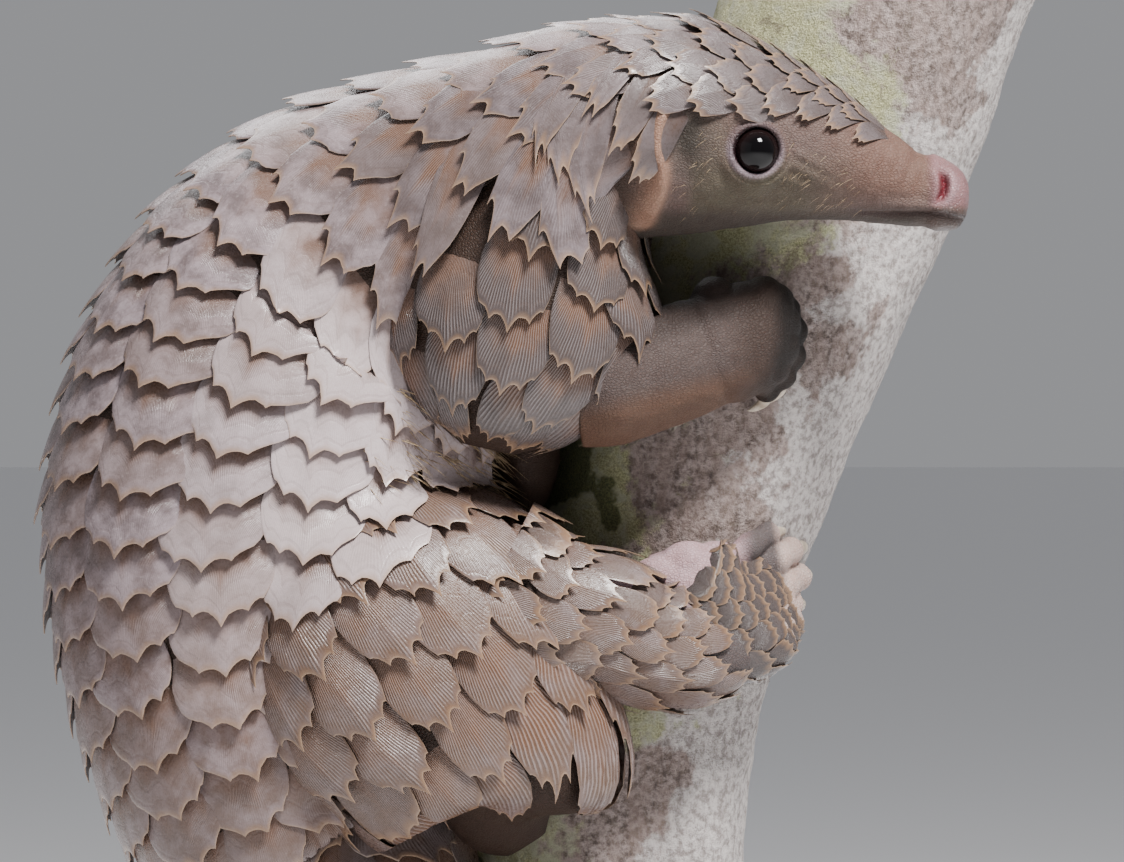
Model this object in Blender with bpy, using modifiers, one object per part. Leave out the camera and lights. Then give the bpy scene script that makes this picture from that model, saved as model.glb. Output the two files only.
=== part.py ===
"""A white-bellied pangolin that clings to a cut length of tree trunk, on a plain display stand.

Metres, +Z up. The origin is the middle of the stand's underside, the animal's snout points to +X
and its right side faces -Y. Body parts are tubes lofted through oval stations, and the overlapping
horny scales are raised in the surface of the tubes, row by row. Lengths in the tables are
millimetres from the view's middle, a point on the animal's midplane at VIEW_HEIGHT.
"""

import math

import bmesh
import bpy
import numpy as np

MM = 0.001
GAP = 0.3
LEG_ROOM = 0.6
VIEW_HEIGHT = 312.0

# Stand: an oval plinth and two rods
BASE_LENGTH = 256.0
BASE_DEPTH = 186.0
BASE_THICKNESS = 18.0
BASE_EDGE = 4.0
BASE_SIDES = 40
ROD_SIDES = 16
ROD_RADIUS = 6.0
ROD_SPREAD = 16.0

# Trunk: a leaning stem whose axis lies in the plane y = TRUNK_Y
TRUNK_Y = 18.0
TRUNK_RADIUS = 35.0
TRUNK_BOTTOM = -252.0
TRUNK_TOP = 114.0
TRUNK_AXIS = [  # z, x
    (TRUNK_BOTTOM, 6.5),
    (-192.0, 6.5),
    (-145.0, 6.5),
    (-110.0, 7.5),
    (-77.0, 10.3),
    (-42.0, 17.5),
    (-4.5, 30.6),
    (54.0, 55.6),
    (100.5, 73.4),
    (TRUNK_TOP, 79.0),
]
TRUNK_SIDES = 18
TRUNK_RINGS = 20
BARK_LUMP = 0.8

# Head sections from snout to nape: x; top z; underside z; half width
HEAD_Y = -38.0
HEAD = [
    (90.2, 54.0, 50.6, 2.4),
    (88.6, 57.0, 46.8, 5.9),
    (85.0, 59.4, 45.5, 7.8),
    (79.5, 62.2, 45.4, 9.4),
    (72.8, 66.6, 46.0, 11.4),
    (64.0, 73.6, 46.8, 13.8),
    (55.1, 79.6, 47.0, 16.3),
    (46.2, 84.6, 46.4, 18.4),
    (37.3, 88.6, 45.1, 20.3),
    (28.4, 91.0, 43.8, 21.5),
]

# Body sections from nape to tail root: back x, z; belly x, z; y of the middle; half width
BODY = [
    ((20.7, 90.4), (18.4, 42.9), -38.0, 22.0),
    ((-0.4, 88.6), (11.2, 37.7), -33.0, 25.5),
    ((-21.8, 83.0), (2.9, 27.2), -24.0, 31.0),
    ((-43.6, 78.0), (-3.2, 13.9), -13.0, 38.0),
    ((-65.7, 71.2), (-6.9, 2.5), -5.0, 43.0),
    ((-88.5, 54.3), (-9.2, -5.5), 0.0, 46.0),
    ((-105.3, 29.2), (-10.3, -11.7), 0.0, 47.0),
    ((-115.0, 0.2), (-11.5, -17.7), 0.0, 47.5),
    ((-117.1, -29.7), (-12.9, -25.1), 0.0, 47.0),
    ((-112.7, -57.3), (-14.3, -35.4), 0.0, 46.0),
    ((-104.4, -82.6), (-16.1, -49.2), 0.0, 43.5),
    ((-91.3, -106.7), (-18.9, -65.3), 0.0, 39.0),
    ((-73.9, -124.9), (-22.0, -80.1), -2.0, 34.5),
]

# Tail: it bends off the rump and winds down round the trunk
TAIL_LENGTH = 430.0
TAIL_STEPS = 34
TAIL_BEND = 85.0
TAIL_TURN = 60.0
TAIL_SLOPES = (math.radians(70), math.radians(11.5))
TAIL_CLEARANCE = 0.5
TAIL_CUTS = (("tail_1", 0.20), ("tail_2", 0.46), ("tail_3", 0.73))
TAIL_SHAPE = [  # share of the length, half width, half depth
    (0.00, 34.5, 34.3),
    (0.10, 31.0, 25.0),
    (0.20, 27.5, 18.0),
    (0.45, 23.0, 13.5),
    (0.75, 16.5, 10.0),
    (0.93, 11.5, 7.5),
    (0.985, 8.5, 5.5),
    (1.00, 4.0, 3.0),
]

# Limbs from inside the body outward: x, y, z; half width across the scale rows; half thickness
UPPER_ARM_RIGHT = [
    (0.0, -22.0, 62.0, 20.0, 22.0),
    (-4.0, -28.0, 50.0, 25.0, 24.0),
    (-8.0, -32.0, 36.0, 28.0, 24.0),
    (-9.0, -35.0, 22.0, 28.5, 22.0),
    (-8.0, -36.5, 9.0, 25.0, 19.0),
    (-6.0, -37.0, 1.0, 17.0, 14.0),
    (-5.0, -37.0, -3.0, 7.0, 7.0),
]
FOREARM_RIGHT = [
    (2.0, -37.0, 10.0, 14.0, 13.0),
    (10.0, -37.5, 11.5, 15.0, 14.0),
    (20.0, -34.5, 13.5, 13.5, 12.5),
    (32.0, -30.5, 17.5, 12.6, 11.0),
    (36.0, -29.0, 19.0, 12.0, 10.0),
]
UPPER_ARM_LEFT = [
    (0.0, -10.0, 60.0, 20.0, 20.0),
    (-4.0, 8.0, 48.0, 24.0, 22.0),
    (-8.0, 28.0, 34.0, 27.0, 22.0),
    (-9.0, 46.0, 20.0, 26.0, 19.0),
    (-8.0, 56.0, 8.0, 22.0, 17.0),
    (-6.0, 61.0, 0.0, 15.0, 13.0),
    (-5.0, 62.0, -4.0, 6.0, 6.0),
]
FOREARM_LEFT = [
    (0.0, 58.0, 4.0, 13.0, 12.0),
    (8.0, 66.0, 5.0, 15.0, 13.5),
    (18.5, 68.5, 7.0, 13.5, 12.0),
    (30.0, 66.5, 11.5, 12.6, 11.0),
    (34.0, 65.0, 13.0, 12.0, 10.0),
]
THIGH_RIGHT = [
    (-56.0, -18.0, -20.0, 22.0, 26.0),
    (-46.0, -27.0, -34.0, 34.0, 27.0),
    (-34.0, -31.0, -50.0, 38.0, 24.0),
    (-22.0, -32.0, -66.0, 34.0, 21.0),
    (-12.0, -30.0, -80.0, 26.0, 17.0),
    (-11.0, -26.0, -88.0, 12.0, 10.0),
    (-8.0, -24.0, -93.0, 5.0, 5.0),
]
SHANK_RIGHT = [
    (-16.0, -33.0, -35.0, 20.0, 16.0),
    (-3.0, -35.0, -41.5, 17.5, 14.0),
    (10.0, -34.0, -44.0, 15.5, 12.0),
    (20.0, -32.0, -48.0, 13.0, 10.5),
    (30.0, -29.0, -49.0, 13.0, 9.5),
]
THIGH_LEFT = [
    (-56.0, 18.0, -24.0, 22.0, 26.0),
    (-46.0, 28.0, -38.0, 34.0, 27.0),
    (-34.0, 40.0, -54.0, 36.0, 24.0),
    (-22.0, 52.0, -68.0, 30.0, 20.0),
    (-12.0, 60.0, -78.0, 22.0, 16.0),
    (-6.0, 62.0, -86.0, 12.0, 10.0),
    (-3.0, 62.0, -90.0, 5.0, 5.0),
]
SHANK_LEFT = [
    (-16.0, 54.0, -48.0, 19.0, 13.0),
    (-3.0, 62.0, -52.0, 17.5, 13.0),
    (8.0, 67.0, -55.0, 15.0, 12.0),
    (18.0, 67.0, -57.0, 13.8, 10.5),
    (28.0, 65.0, -56.0, 13.0, 9.5),
]
HAND = [
    (29.0, -31.5, 16.4, 9.0, 7.0),
    (33.0, -30.3, 17.8, 12.4, 10.6),
    (41.0, -27.5, 20.8, 12.8, 10.0),
    (47.0, -26.0, 21.8, 12.0, 9.0),
    (51.0, -25.0, 21.4, 9.5, 7.5),
]
HINDLEG_RIGHT = [
    (-42.0, -18.0, -62.0, 42.0, 30.0),
    (-26.0, -27.0, -57.0, 34.0, 24.0),
    (-10.0, -32.5, -52.0, 24.0, 18.0),
    (5.0, -34.5, -49.5, 17.0, 13.5),
    (19.0, -32.0, -49.0, 13.8, 10.5),
    (30.0, -29.0, -48.0, 13.0, 9.5),
]
HINDLEG_LEFT = [
    (-42.0, 10.0, -66.0, 40.0, 30.0),
    (-26.0, 33.0, -63.0, 33.0, 24.0),
    (-10.0, 57.0, -60.0, 23.0, 18.0),
    (4.0, 69.0, -58.0, 17.0, 13.5),
    (17.0, 67.5, -57.0, 13.8, 10.5),
    (28.0, 65.0, -56.0, 13.0, 9.5),
]
FOOT = [
    (17.0, -20.5, -34.5, 7.0, 5.0),
    (22.0, -23.0, -36.5, 11.0, 7.5),
    (32.0, -24.5, -41.0, 16.0, 8.5),
    (42.0, -20.0, -41.0, 14.5, 7.5),
    (49.0, -12.0, -38.0, 11.0, 6.0),
    (52.5, -5.5, -36.5, 8.0, 4.5),
]

# Digits: root; knuckle; tip; thickness at root and tip; claw bend; claw point; claw half width
FINGERS = [
    ((46.0, -26.0, 30.6), (50.6, -26.5, 30.2), (53.2, -21.5, 27.6), 3.6, 3.0,
     (52.2, -17.8, 25.4), (47.6, -17.4, 23.4), 1.7),
    ((47.0, -26.0, 25.6), (53.0, -26.5, 25.0), (55.6, -20.5, 22.2), 4.0, 3.2,
     (54.2, -16.8, 19.4), (48.4, -17.2, 16.8), 2.2),
    ((47.0, -26.0, 20.6), (52.6, -26.5, 19.6), (55.2, -20.5, 16.4), 4.0, 3.2,
     (53.6, -16.6, 13.2), (47.2, -17.2, 10.4), 2.4),
    ((46.0, -25.5, 15.8), (50.6, -26.0, 14.6), (53.0, -20.5, 11.8), 3.7, 3.0,
     (51.4, -16.8, 9.2), (45.6, -17.2, 6.8), 2.0),
    ((44.0, -25.0, 12.2), (47.6, -25.0, 10.8), (49.6, -20.5, 8.4), 3.0, 2.5,
     (48.0, -17.4, 6.2), (43.4, -17.6, 4.4), 1.5),
]
TOES = [
    ((41.0, -20.0, -30.0), (45.5, -14.5, -26.0), (50.3, -6.0, -23.6), 3.0, 2.6,
     (54.4, 1.0, -22.4), (57.8, 7.0, -22.8), 1.6),
    ((46.0, -14.0, -33.0), (52.0, -6.5, -29.6), (56.6, 2.5, -27.8), 3.4, 2.9,
     (58.8, 10.0, -27.2), (58.6, 17.0, -28.2), 1.9),
    ((48.5, -11.0, -38.0), (54.4, -3.5, -36.0), (58.4, 5.5, -34.4), 3.5, 3.0,
     (58.8, 13.0, -34.2), (57.2, 20.0, -35.4), 2.0),
    ((47.5, -12.0, -42.5), (53.0, -4.5, -41.6), (56.6, 3.0, -41.0), 3.3, 2.8,
     (57.6, 10.0, -41.2), (56.4, 17.0, -42.4), 1.9),
    ((44.0, -16.0, -47.0), (48.6, -9.5, -47.2), (52.4, -2.5, -47.0), 2.9, 2.4,
     (54.6, 3.5, -47.4), (55.0, 9.5, -48.6), 1.6),
]
LEFT_HAND_SHIFT = (-2.3, 0.2, -6.4)
LEFT_FOOT_SHIFT = (-2.0, 0.0, -8.0)

# Face
EYE = (42.2, -54.2, 61.4)
EYE_WAY = (0.2, -0.97, -0.1)
EYE_RADIUS = 5.3
LID_RADIUS = 5.5
LID_THICKNESS = 1.25
LID_DEPTH = 2.2
NOSTRIL = (84.2, -44.6, 53.6)
NOSTRIL_RADII = (1.5, 1.6, 2.6)
MOUTH_LOW, MOUTH_HIGH, MOUTH_BACK = 47.6, 48.3, 74.0
EAR_LINE = [  # x, y, z, half width
    (27.5, -59.8, 71.5, 1.2),
    (24.4, -60.8, 67.0, 2.0),
    (23.2, -61.0, 60.5, 2.3),
    (23.8, -58.4, 54.0, 2.0),
    (26.6, -53.8, 49.5, 1.2),
]
EAR_HOLLOW = (29.6, -59.4, 61.5)
EAR_HOLLOW_RADII = (3.4, 2.6, 6.5)

# Plain tubes: the core that the limbs are fitted to, and the bare limbs
CORE_SIDES = 24
CORE_STEP = 12.0
LIMB_SIDES = 14
LIMB_STEP = 6.0
DIGIT_SIDES = 5
CLAW_SIDES = 4
DIGIT_SHAPE = (0.9, 1.0, 1.0, 0.4)
CLAW_SHAPE = (0.8, 1.0, 0.8)
CLAW_POINT = 0.3
DIGIT_END = 0.5
CLAW_START = 0.3

# Looks: colour and roughness
LOOKS = {
    "scales": ((0.22, 0.17, 0.15), 0.5),
    "skin": ((0.30, 0.21, 0.19), 0.6),
    "hand": ((0.08, 0.05, 0.04), 0.7),
    "eye": ((0.01, 0.01, 0.01), 0.1),
    "bark": ((0.35, 0.33, 0.24), 0.9),
    "stand": ((0.03, 0.03, 0.035), 0.4),
}
KINDS = (("stand", "stand"), ("perch", "bark"), ("eye", "eye"), ("ear", "skin"), ("head", "skin"),
         ("hand", "hand"), ("foot", "skin"), ("", "scales"))

# A raised scale: how far its edge and the foot below it lie along the row, and their heights,
# for the tip, the shoulder, the notch between two scales, and the other shoulder
EDGE_REACH = (1.0, 0.74, 0.05, 0.74)
EDGE_HEIGHT = (1.0, 0.86, 0.42, 0.86)
FOOT_REACH = (0.84, 0.60, 0.11, 0.60)
FOOT_HEIGHT = (0.3, 0.3, 0.34, 0.3)
BARE_REACH = (0.3, 0.6)
BARE_HEIGHT = 0.3
BARE_COLUMNS = 3
SCALE_LIFT = 3.2
HEAD_LIFT = 1.8
NAPE_LIFT = 2.4
CROWN_EDGE = 12.0
BARE_EDGE = 5.0
FOOT_LIFT = 1.4
TAIL_LIFTS = (3.2, 1.4)
CORE_LIFT = SCALE_LIFT + 4 * GAP

# Scale rows: number of columns, share of the way round, row steps at both ends
HEAD_SCALES = (6, 0.42, (7.2, 7.6))
NECK_SCALES = (8, 0.60, (7.4, 9.4))
BODY_SCALES = (10, 0.70, (13.0, 13.0))
TAIL_SCALES = (8, None, (14.4, 12.4))
CUT_SHARE = 0.45
ARM_SCALES = (6, 0.62, (10.0, 8.4))
THIGH_SCALES = (6, 0.62, (12.0, 10.0))
SHANK_SCALES = (4, 0.60, (9.5, 8.0))
FOOT_SCALES = (4, 0.50, (8.0, 7.0))
FOOT_BARE_FROM = 3.6


# Curves and tubes

def smooth(knots, values, at):
    """Smooth curve through the values at the knots, for numbers or for points."""
    knots = np.asarray(knots, float)
    values = np.asarray(values, float)
    at = np.clip(np.asarray(at, float), knots[0], knots[-1])
    slopes = np.gradient(values, knots, axis=0)
    i = np.clip(np.searchsorted(knots, at, side="right") - 1, 0, len(knots) - 2)
    step = knots[i + 1] - knots[i]
    t = (at - knots[i]) / step
    if values.ndim == 2:
        t, step = t[..., None], step[..., None]
    rise = t * t * (3 - 2 * t)
    return (values[i] * (1 - rise) + values[i + 1] * rise
            + slopes[i] * step * t * (1 - t) ** 2 - slopes[i + 1] * step * t * t * (1 - t))


def ramp(x, low, high):
    """0 below low, 1 above high, smooth between them."""
    t = np.clip((np.asarray(x, float) - low) / (high - low), 0, 1)
    return t * t * (3 - 2 * t)


def unit(v):
    return v / np.linalg.norm(v, axis=-1, keepdims=True)


class Tube:
    """A tube with oval sections; `up` points to each section's back, `s` runs along the back."""

    def __init__(self, centres, ups, half_widths, half_depths):
        self.centres = np.array(centres, float)
        self.ups = unit(np.array(ups, float))
        self.half_widths = np.array(half_widths, float)
        self.half_depths = np.array(half_depths, float)
        back = self.centres + self.ups * self.half_depths[:, None]
        steps = np.linalg.norm(np.diff(back, axis=0), axis=1)
        self.knots = np.concatenate([[0], np.cumsum(steps)])
        self.length = self.knots[-1]

    def frame(self, s):
        """Centre, back direction, right direction and half sizes of the section at s."""
        centre = smooth(self.knots, self.centres, s)
        up = unit(smooth(self.knots, self.ups, s))
        near = np.clip(s - 0.5, 0, self.length - 1)
        way = smooth(self.knots, self.centres, near + 1) - smooth(self.knots, self.centres, near)
        right = unit(np.cross(up, way))
        return (centre, up, right, smooth(self.knots, self.half_widths, s),
                smooth(self.knots, self.half_depths, s))

    def surface(self, s, u, height):
        """Points above the surface: u is 0 on the back and runs to -1 and 1 round the sides."""
        centre, up, right, a, b = self.frame(s)
        turn = math.pi * u
        turn = turn - (a * a - b * b) / (a * a + b * b) / 4 * np.sin(2 * turn)
        side, top = np.sin(turn), np.cos(turn)
        size = np.sqrt((b * side) ** 2 + (a * top) ** 2)
        across = side * (a + height * b / size)
        along = top * (b + height * a / size)
        return centre + right * across[..., None] + up * along[..., None]

    def section_plane(self, s):
        """A point of the section at s and the direction along the tube."""
        centre, up, right, _, _ = self.frame(np.array([s]))
        return centre[0], np.cross(right[0], up[0])


class Zone:
    """Rows of scales on a tube from start on; `reach` None means scales all round."""

    def __init__(self, tube, start, stop, scales, lifts, cover=None):
        self.tube, self.start, self.stop, self.lifts = tube, start, stop, lifts
        self.columns, self.reach, pitch = scales
        self.cover = cover or (lambda s: np.ones_like(s))
        rows = [start]
        while rows[-1] < stop:
            share = (rows[-1] - start) / (stop - start)
            rows.append(rows[-1] + pitch[0] + (pitch[1] - pitch[0]) * share)
        self.rows = np.array(rows)

    def round_columns(self):
        """Place, scale cover and number of each column of vertices."""
        k = np.arange(2 * self.columns + (1 if self.reach else 0))
        if not self.reach:
            return k / self.columns - 1, np.ones(len(k)), k
        bare = np.linspace(self.reach, 2 - self.reach, BARE_COLUMNS + 2)[1:-1]
        u = np.concatenate([(k / self.columns - 1) * self.reach, bare])
        cover = np.clip(np.minimum(k, k[-1] - k) / 2, 0, 1)
        none = np.zeros(BARE_COLUMNS, int)
        return u, np.concatenate([cover, none]), np.concatenate([k, none])

    def rings(self, first, last):
        """Rings of points with the rows of scales from s = first to last."""
        u, cover_round, k = self.round_columns()
        low = max(np.searchsorted(self.rows, first) - 3, 0)
        high = min(np.searchsorted(self.rows, last) + 2, len(self.rows) - 1)
        count = np.arange(len(self.rows))
        result = []
        for row in range(low, high):
            phase = (k + 2 * (row % 2)) % 4
            for reach, height, bare in ((EDGE_REACH, EDGE_HEIGHT, BARE_REACH[0]),
                                        (FOOT_REACH, FOOT_HEIGHT, BARE_REACH[1])):
                cover = cover_round * self.cover(np.interp(row + bare, count, self.rows))
                r = row + bare + (np.take(reach, phase) - bare) * cover
                h = BARE_HEIGHT + (np.take(height, phase) - BARE_HEIGHT) * cover
                s = np.interp(r, count, self.rows)
                share = (s - self.start) / (self.stop - self.start)
                lift = self.lifts[0] + (self.lifts[1] - self.lifts[0]) * share
                result.append(self.tube.surface(s, u, lift * h))
        return result


# Meshes

def closed_mesh(rings):
    """Vertices and faces of a tube through the rings, closed by a face at each end."""
    n = len(rings[0])
    points = np.concatenate(rings)
    faces = []
    for j in range(len(rings) - 1):
        for k in range(n):
            a, b = j * n + k, j * n + (k + 1) % n
            faces.append((a, b, b + n, a + n))
    faces.append(tuple(range(n - 1, -1, -1)))
    faces.append(tuple(range(len(points) - n, len(points))))
    return points, faces


def add_object(name, points, faces, collection):
    """Mesh object from millimetre points given from the view's middle."""
    mesh = bpy.data.meshes.new(name)
    placed = (np.asarray(points, float) + (0, 0, VIEW_HEIGHT)) * MM
    mesh.from_pydata(placed.tolist(), [], faces)
    obj = bpy.data.objects.new(name, mesh)
    collection.objects.link(obj)
    edit(obj, face_outward)
    return obj


def edit(obj, *steps):
    """Run edit steps on the object's mesh."""
    bm = bmesh.new()
    bm.from_mesh(obj.data)
    for step in steps:
        step(bm)
    bm.to_mesh(obj.data)
    bm.free()


def face_outward(bm):
    bmesh.ops.remove_doubles(bm, verts=bm.verts, dist=0.00001)
    bmesh.ops.recalc_face_normals(bm, faces=bm.faces)
    if bm.calc_volume(signed=True) < 0:
        bmesh.ops.reverse_faces(bm, faces=bm.faces)


def cut_off(tube, s, keep_after, margin=GAP / 2):
    """Edit step that cuts the mesh at a tube's section and closes the cut."""
    point, way = tube.section_plane(s)
    side = 1 if keep_after else -1
    point = (point + way * side * margin + (0, 0, VIEW_HEIGHT)) * MM

    def step(bm):
        everything = bm.verts[:] + bm.edges[:] + bm.faces[:]
        bmesh.ops.bisect_plane(bm, geom=everything, plane_co=point, plane_no=way * -side,
                               clear_outer=True)
        bmesh.ops.holes_fill(bm, edges=[e for e in bm.edges if e.is_boundary])
    return step


def keep_largest(bm):
    """Edit step that drops all but the largest closed surface."""
    left, parts = set(bm.faces), []
    while left:
        stack, part = [left.pop()], []
        while stack:
            face = stack.pop()
            part.append(face)
            for edge in face.edges:
                for other in edge.link_faces:
                    if other in left:
                        left.remove(other)
                        stack.append(other)
        parts.append(part)
    parts.sort(key=lambda part: sum(face.calc_area() for face in part))
    loose = [face for part in parts[:-1] for face in part]
    if loose:
        bmesh.ops.delete(bm, geom=loose, context="FACES")


def tidy(bm):
    """Edit step that removes slivers and loose bits after a cut."""
    bmesh.ops.triangulate(bm, faces=bm.faces, ngon_method="EAR_CLIP")
    keep_largest(bm)


def carve(target, others, operation, cutters):
    """Join the others to the target or cut them from it, then remove them."""
    for other in others:
        if other.name not in cutters.objects:
            cutters.objects.link(other)
    modifier = target.modifiers.new(operation.lower(), "BOOLEAN")
    modifier.operation = operation
    modifier.operand_type = "COLLECTION"
    modifier.collection = cutters
    modifier.solver = "MANIFOLD"
    view = bpy.context.evaluated_depsgraph_get()
    result = bpy.data.meshes.new_from_object(target.evaluated_get(view))
    target.modifiers.clear()
    target.data = result
    for other in others:
        bpy.data.objects.remove(other)
    edit(target, tidy)


def swollen(obj, collection, room=GAP):
    """Copy of an object, larger by the room on all sides."""
    copy = bpy.data.objects.new(obj.name + "_room", obj.data.copy())
    collection.objects.link(copy)
    for vertex in copy.data.vertices:
        vertex.co = vertex.co + vertex.normal * room * MM
    return copy


# The forms

def trunk_x(z):
    axis = np.array(TRUNK_AXIS)
    return float(smooth(axis[:, 0], axis[:, 1], z))


def spine_tube():
    """One tube from the snout to the tip of the tail, and the places of its cuts."""
    sections = [((x, HEAD_Y, (top + low) / 2), (0, 0, 1), width, (top - low) / 2)
                for x, top, low, width in HEAD]
    for back, belly, y, width in BODY:
        across = np.array([back[0] - belly[0], 0, back[1] - belly[1]])
        sections.append((((back[0] + belly[0]) / 2, y, (back[1] + belly[1]) / 2), unit(across),
                         width, np.linalg.norm(across) / 2))
    tube = Tube(*zip(*(sections + tail_sections(sections[-1]))))
    nape, root = len(HEAD), len(HEAD) + len(BODY) - 1
    between = tube.knots[:-1] + np.diff(tube.knots) * CUT_SHARE
    tail = tube.length - tube.knots[root]
    cuts = {"crown": tube.knots[5], "head": between[nape], "neck": between[nape + 2],
            "torso": between[nape + 9], "rump": tube.knots[root]}
    for name, share in TAIL_CUTS:
        cuts[name] = tube.knots[root] + tail * share
    return tube, cuts


def tail_sections(root):
    """Sections of the tail, bending off the body and winding round the trunk."""
    (x, y, z), body_up = root[0], root[1]
    shape = np.array(TAIL_SHAPE)
    step = TAIL_LENGTH / TAIL_STEPS
    out = np.array([x - trunk_x(z), y - TRUNK_Y])
    nearest, turn = np.linalg.norm(out), math.atan2(out[1], out[0])
    sections = []
    for i in range(1, TAIL_STEPS + 1):
        s = i * step
        slope = TAIL_SLOPES[0] + (TAIL_SLOPES[1] - TAIL_SLOPES[0]) * ramp(s, 0, TAIL_BEND)
        width, depth = smooth(shape[:, 0], shape[:, 1:], s / TAIL_LENGTH)
        radius = min(nearest, TRUNK_RADIUS + TAIL_CLEARANCE + SCALE_LIFT + depth)
        z -= math.sin(slope) * step
        turn += math.cos(slope) * step / radius
        outward = np.array([math.cos(turn), math.sin(turn), 0])
        share = ramp(s, 0, TAIL_TURN)
        sections.append(((trunk_x(z) + radius * outward[0], TRUNK_Y + radius * outward[1], z),
                         unit(body_up * (1 - share) + outward * share), width, depth))
    return sections


def build_trunk(collection):
    """Leaning stem with shallow lumps of bark, its cut ends level."""
    turns = np.linspace(0, 2 * math.pi, TRUNK_SIDES, endpoint=False)
    rings = []
    for z in np.linspace(TRUNK_BOTTOM, TRUNK_TOP, TRUNK_RINGS):
        lean = (trunk_x(z + 1) - trunk_x(z - 1)) / 2
        lump = np.sin(3 * turns + z / 31) + np.sin(5 * turns - z / 17)
        radius = TRUNK_RADIUS - BARK_LUMP + BARK_LUMP / 2 * lump
        rings.append(np.stack([trunk_x(z) + radius * math.hypot(1, lean) * np.cos(turns),
                               TRUNK_Y + radius * np.sin(turns),
                               np.full(len(turns), z)], axis=1))
    return add_object("perch_trunk", *closed_mesh(rings), collection)


def build_stand(collection):
    """Oval plinth and the two rods that hold the trunk up."""
    bpy.ops.mesh.primitive_cylinder_add(vertices=BASE_SIDES, radius=0.5, depth=BASE_THICKNESS * MM,
                                        location=(0, 0, BASE_THICKNESS / 2 * MM))
    base = bpy.context.object
    base.name = "stand_base"
    for vertex in base.data.vertices:
        vertex.co.x *= BASE_LENGTH * MM
        vertex.co.y *= BASE_DEPTH * MM
    bevel = base.modifiers.new("edge", "BEVEL")
    bevel.width = BASE_EDGE * MM
    bevel.segments = 2
    bottom = BASE_THICKNESS + GAP
    top = VIEW_HEIGHT + TRUNK_BOTTOM - GAP
    parts = [base]
    for number, side in ((1, -1), (2, 1)):
        x = trunk_x(TRUNK_BOTTOM) + side * ROD_SPREAD
        bpy.ops.mesh.primitive_cylinder_add(
            vertices=ROD_SIDES, radius=ROD_RADIUS * MM, depth=(top - bottom) * MM,
            location=(x * MM, TRUNK_Y * MM, (top + bottom) / 2 * MM))
        parts.append(bpy.context.object)
        parts[-1].name = f"stand_rod_{number}"
    for obj in parts:
        for home in obj.users_collection:
            home.objects.unlink(obj)
        collection.objects.link(obj)


def plain_tube(name, tube, first, last, lift, sides, step, collection):
    """Closed smooth tube, `lift` above the surface."""
    u = np.arange(sides) * 2 / sides - 1
    places = np.linspace(first, last, int((last - first) / step) + 2)
    rings = [tube.surface(np.full(len(u), s), u, np.full(len(u), lift)) for s in places]
    return add_object(name, *closed_mesh(rings), collection)


def strand(name, points, half_widths, up, sides, collection):
    """Thin tapering tube through the points."""
    tube = Tube(points, [up] * len(points), half_widths, half_widths)
    u = np.arange(sides) * 2 / sides - 1
    rings = [tube.surface(np.full(sides, s), u, np.zeros(sides))
             for s in np.linspace(0, tube.length, len(points))]
    return add_object(name, *closed_mesh(rings), collection)


def ball(name, centre, radii, collection, loops=7, sides=12):
    """Closed ellipsoid."""
    turns = np.linspace(0, 2 * math.pi, sides, endpoint=False)
    rings = [np.stack([np.sin(tilt) * np.cos(turns), np.sin(tilt) * np.sin(turns),
                       np.full(sides, np.cos(tilt))], axis=1) * radii + centre
             for tilt in np.linspace(0, math.pi, loops + 1)[1:-1]]
    return add_object(name, *closed_mesh(rings), collection)


def box(name, low, high, collection):
    (x0, y0, z0), (x1, y1, z1) = low, high
    rings = [np.array([(x0, y0, z), (x1, y0, z), (x1, y1, z), (x0, y1, z)]) for z in (z0, z1)]
    return add_object(name, *closed_mesh(rings), collection)


def lid_ring(name, centre, way, collection, sides=16, around=6):
    """Ring of eyelid round the eye."""
    way = unit(np.array(way, float))
    level = unit(np.cross(way, (0, 0, 1)))
    rise = np.cross(level, way)
    points, faces = [], []
    for i in range(sides):
        turn = 2 * math.pi * i / sides
        out = level * math.cos(turn) + rise * math.sin(turn)
        for j in range(around):
            tilt = 2 * math.pi * j / around
            points.append(np.array(centre) + out * (LID_RADIUS + LID_THICKNESS * math.cos(tilt))
                          + way * LID_THICKNESS * math.sin(tilt))
            ahead, beside = (i + 1) % sides, (j + 1) % around
            faces.append((i * around + j, ahead * around + j, ahead * around + beside,
                          i * around + beside))
    return add_object(name, points, faces, collection)


def spine_node(name, zone, first, last, parts, open_start=False, open_end=False):
    """Body part between two sections of the spine."""
    node = add_object(name, *closed_mesh(zone.rings(first, last)), parts)
    cuts = []
    if not open_start:
        cuts.append(cut_off(zone.tube, first, keep_after=True))
    if not open_end:
        cuts.append(cut_off(zone.tube, last, keep_after=False))
    edit(node, *cuts, tidy)
    return node


def build_body(parts):
    """Head, neck, torso, rump and tail, cut from one tube."""
    tube, cuts = spine_tube()
    even = (SCALE_LIFT, SCALE_LIFT)
    head = Zone(tube, 0, cuts["neck"], HEAD_SCALES, (HEAD_LIFT, HEAD_LIFT),
                cover=lambda s: ramp(s, cuts["crown"] - CROWN_EDGE, cuts["crown"]))
    neck = Zone(tube, cuts["head"], cuts["torso"], NECK_SCALES, (NAPE_LIFT, SCALE_LIFT))
    body = Zone(tube, cuts["neck"], cuts["tail_2"], BODY_SCALES, even)
    tail = Zone(tube, cuts["rump"], tube.length, TAIL_SCALES, TAIL_LIFTS)
    nodes = {"head": spine_node("head", head, 0, cuts["head"], parts, open_start=True)}
    first = cuts["head"]
    for name, zone in (("neck", neck), ("torso", body), ("rump", body), ("tail_1", tail),
                       ("tail_2", tail), ("tail_3", tail), ("tail_4", tail)):
        last = cuts.get(name, tube.length)
        nodes[name] = spine_node(name, zone, first, last, parts, open_end=name == "tail_4")
        first = last
    return tube, cuts, nodes


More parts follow.
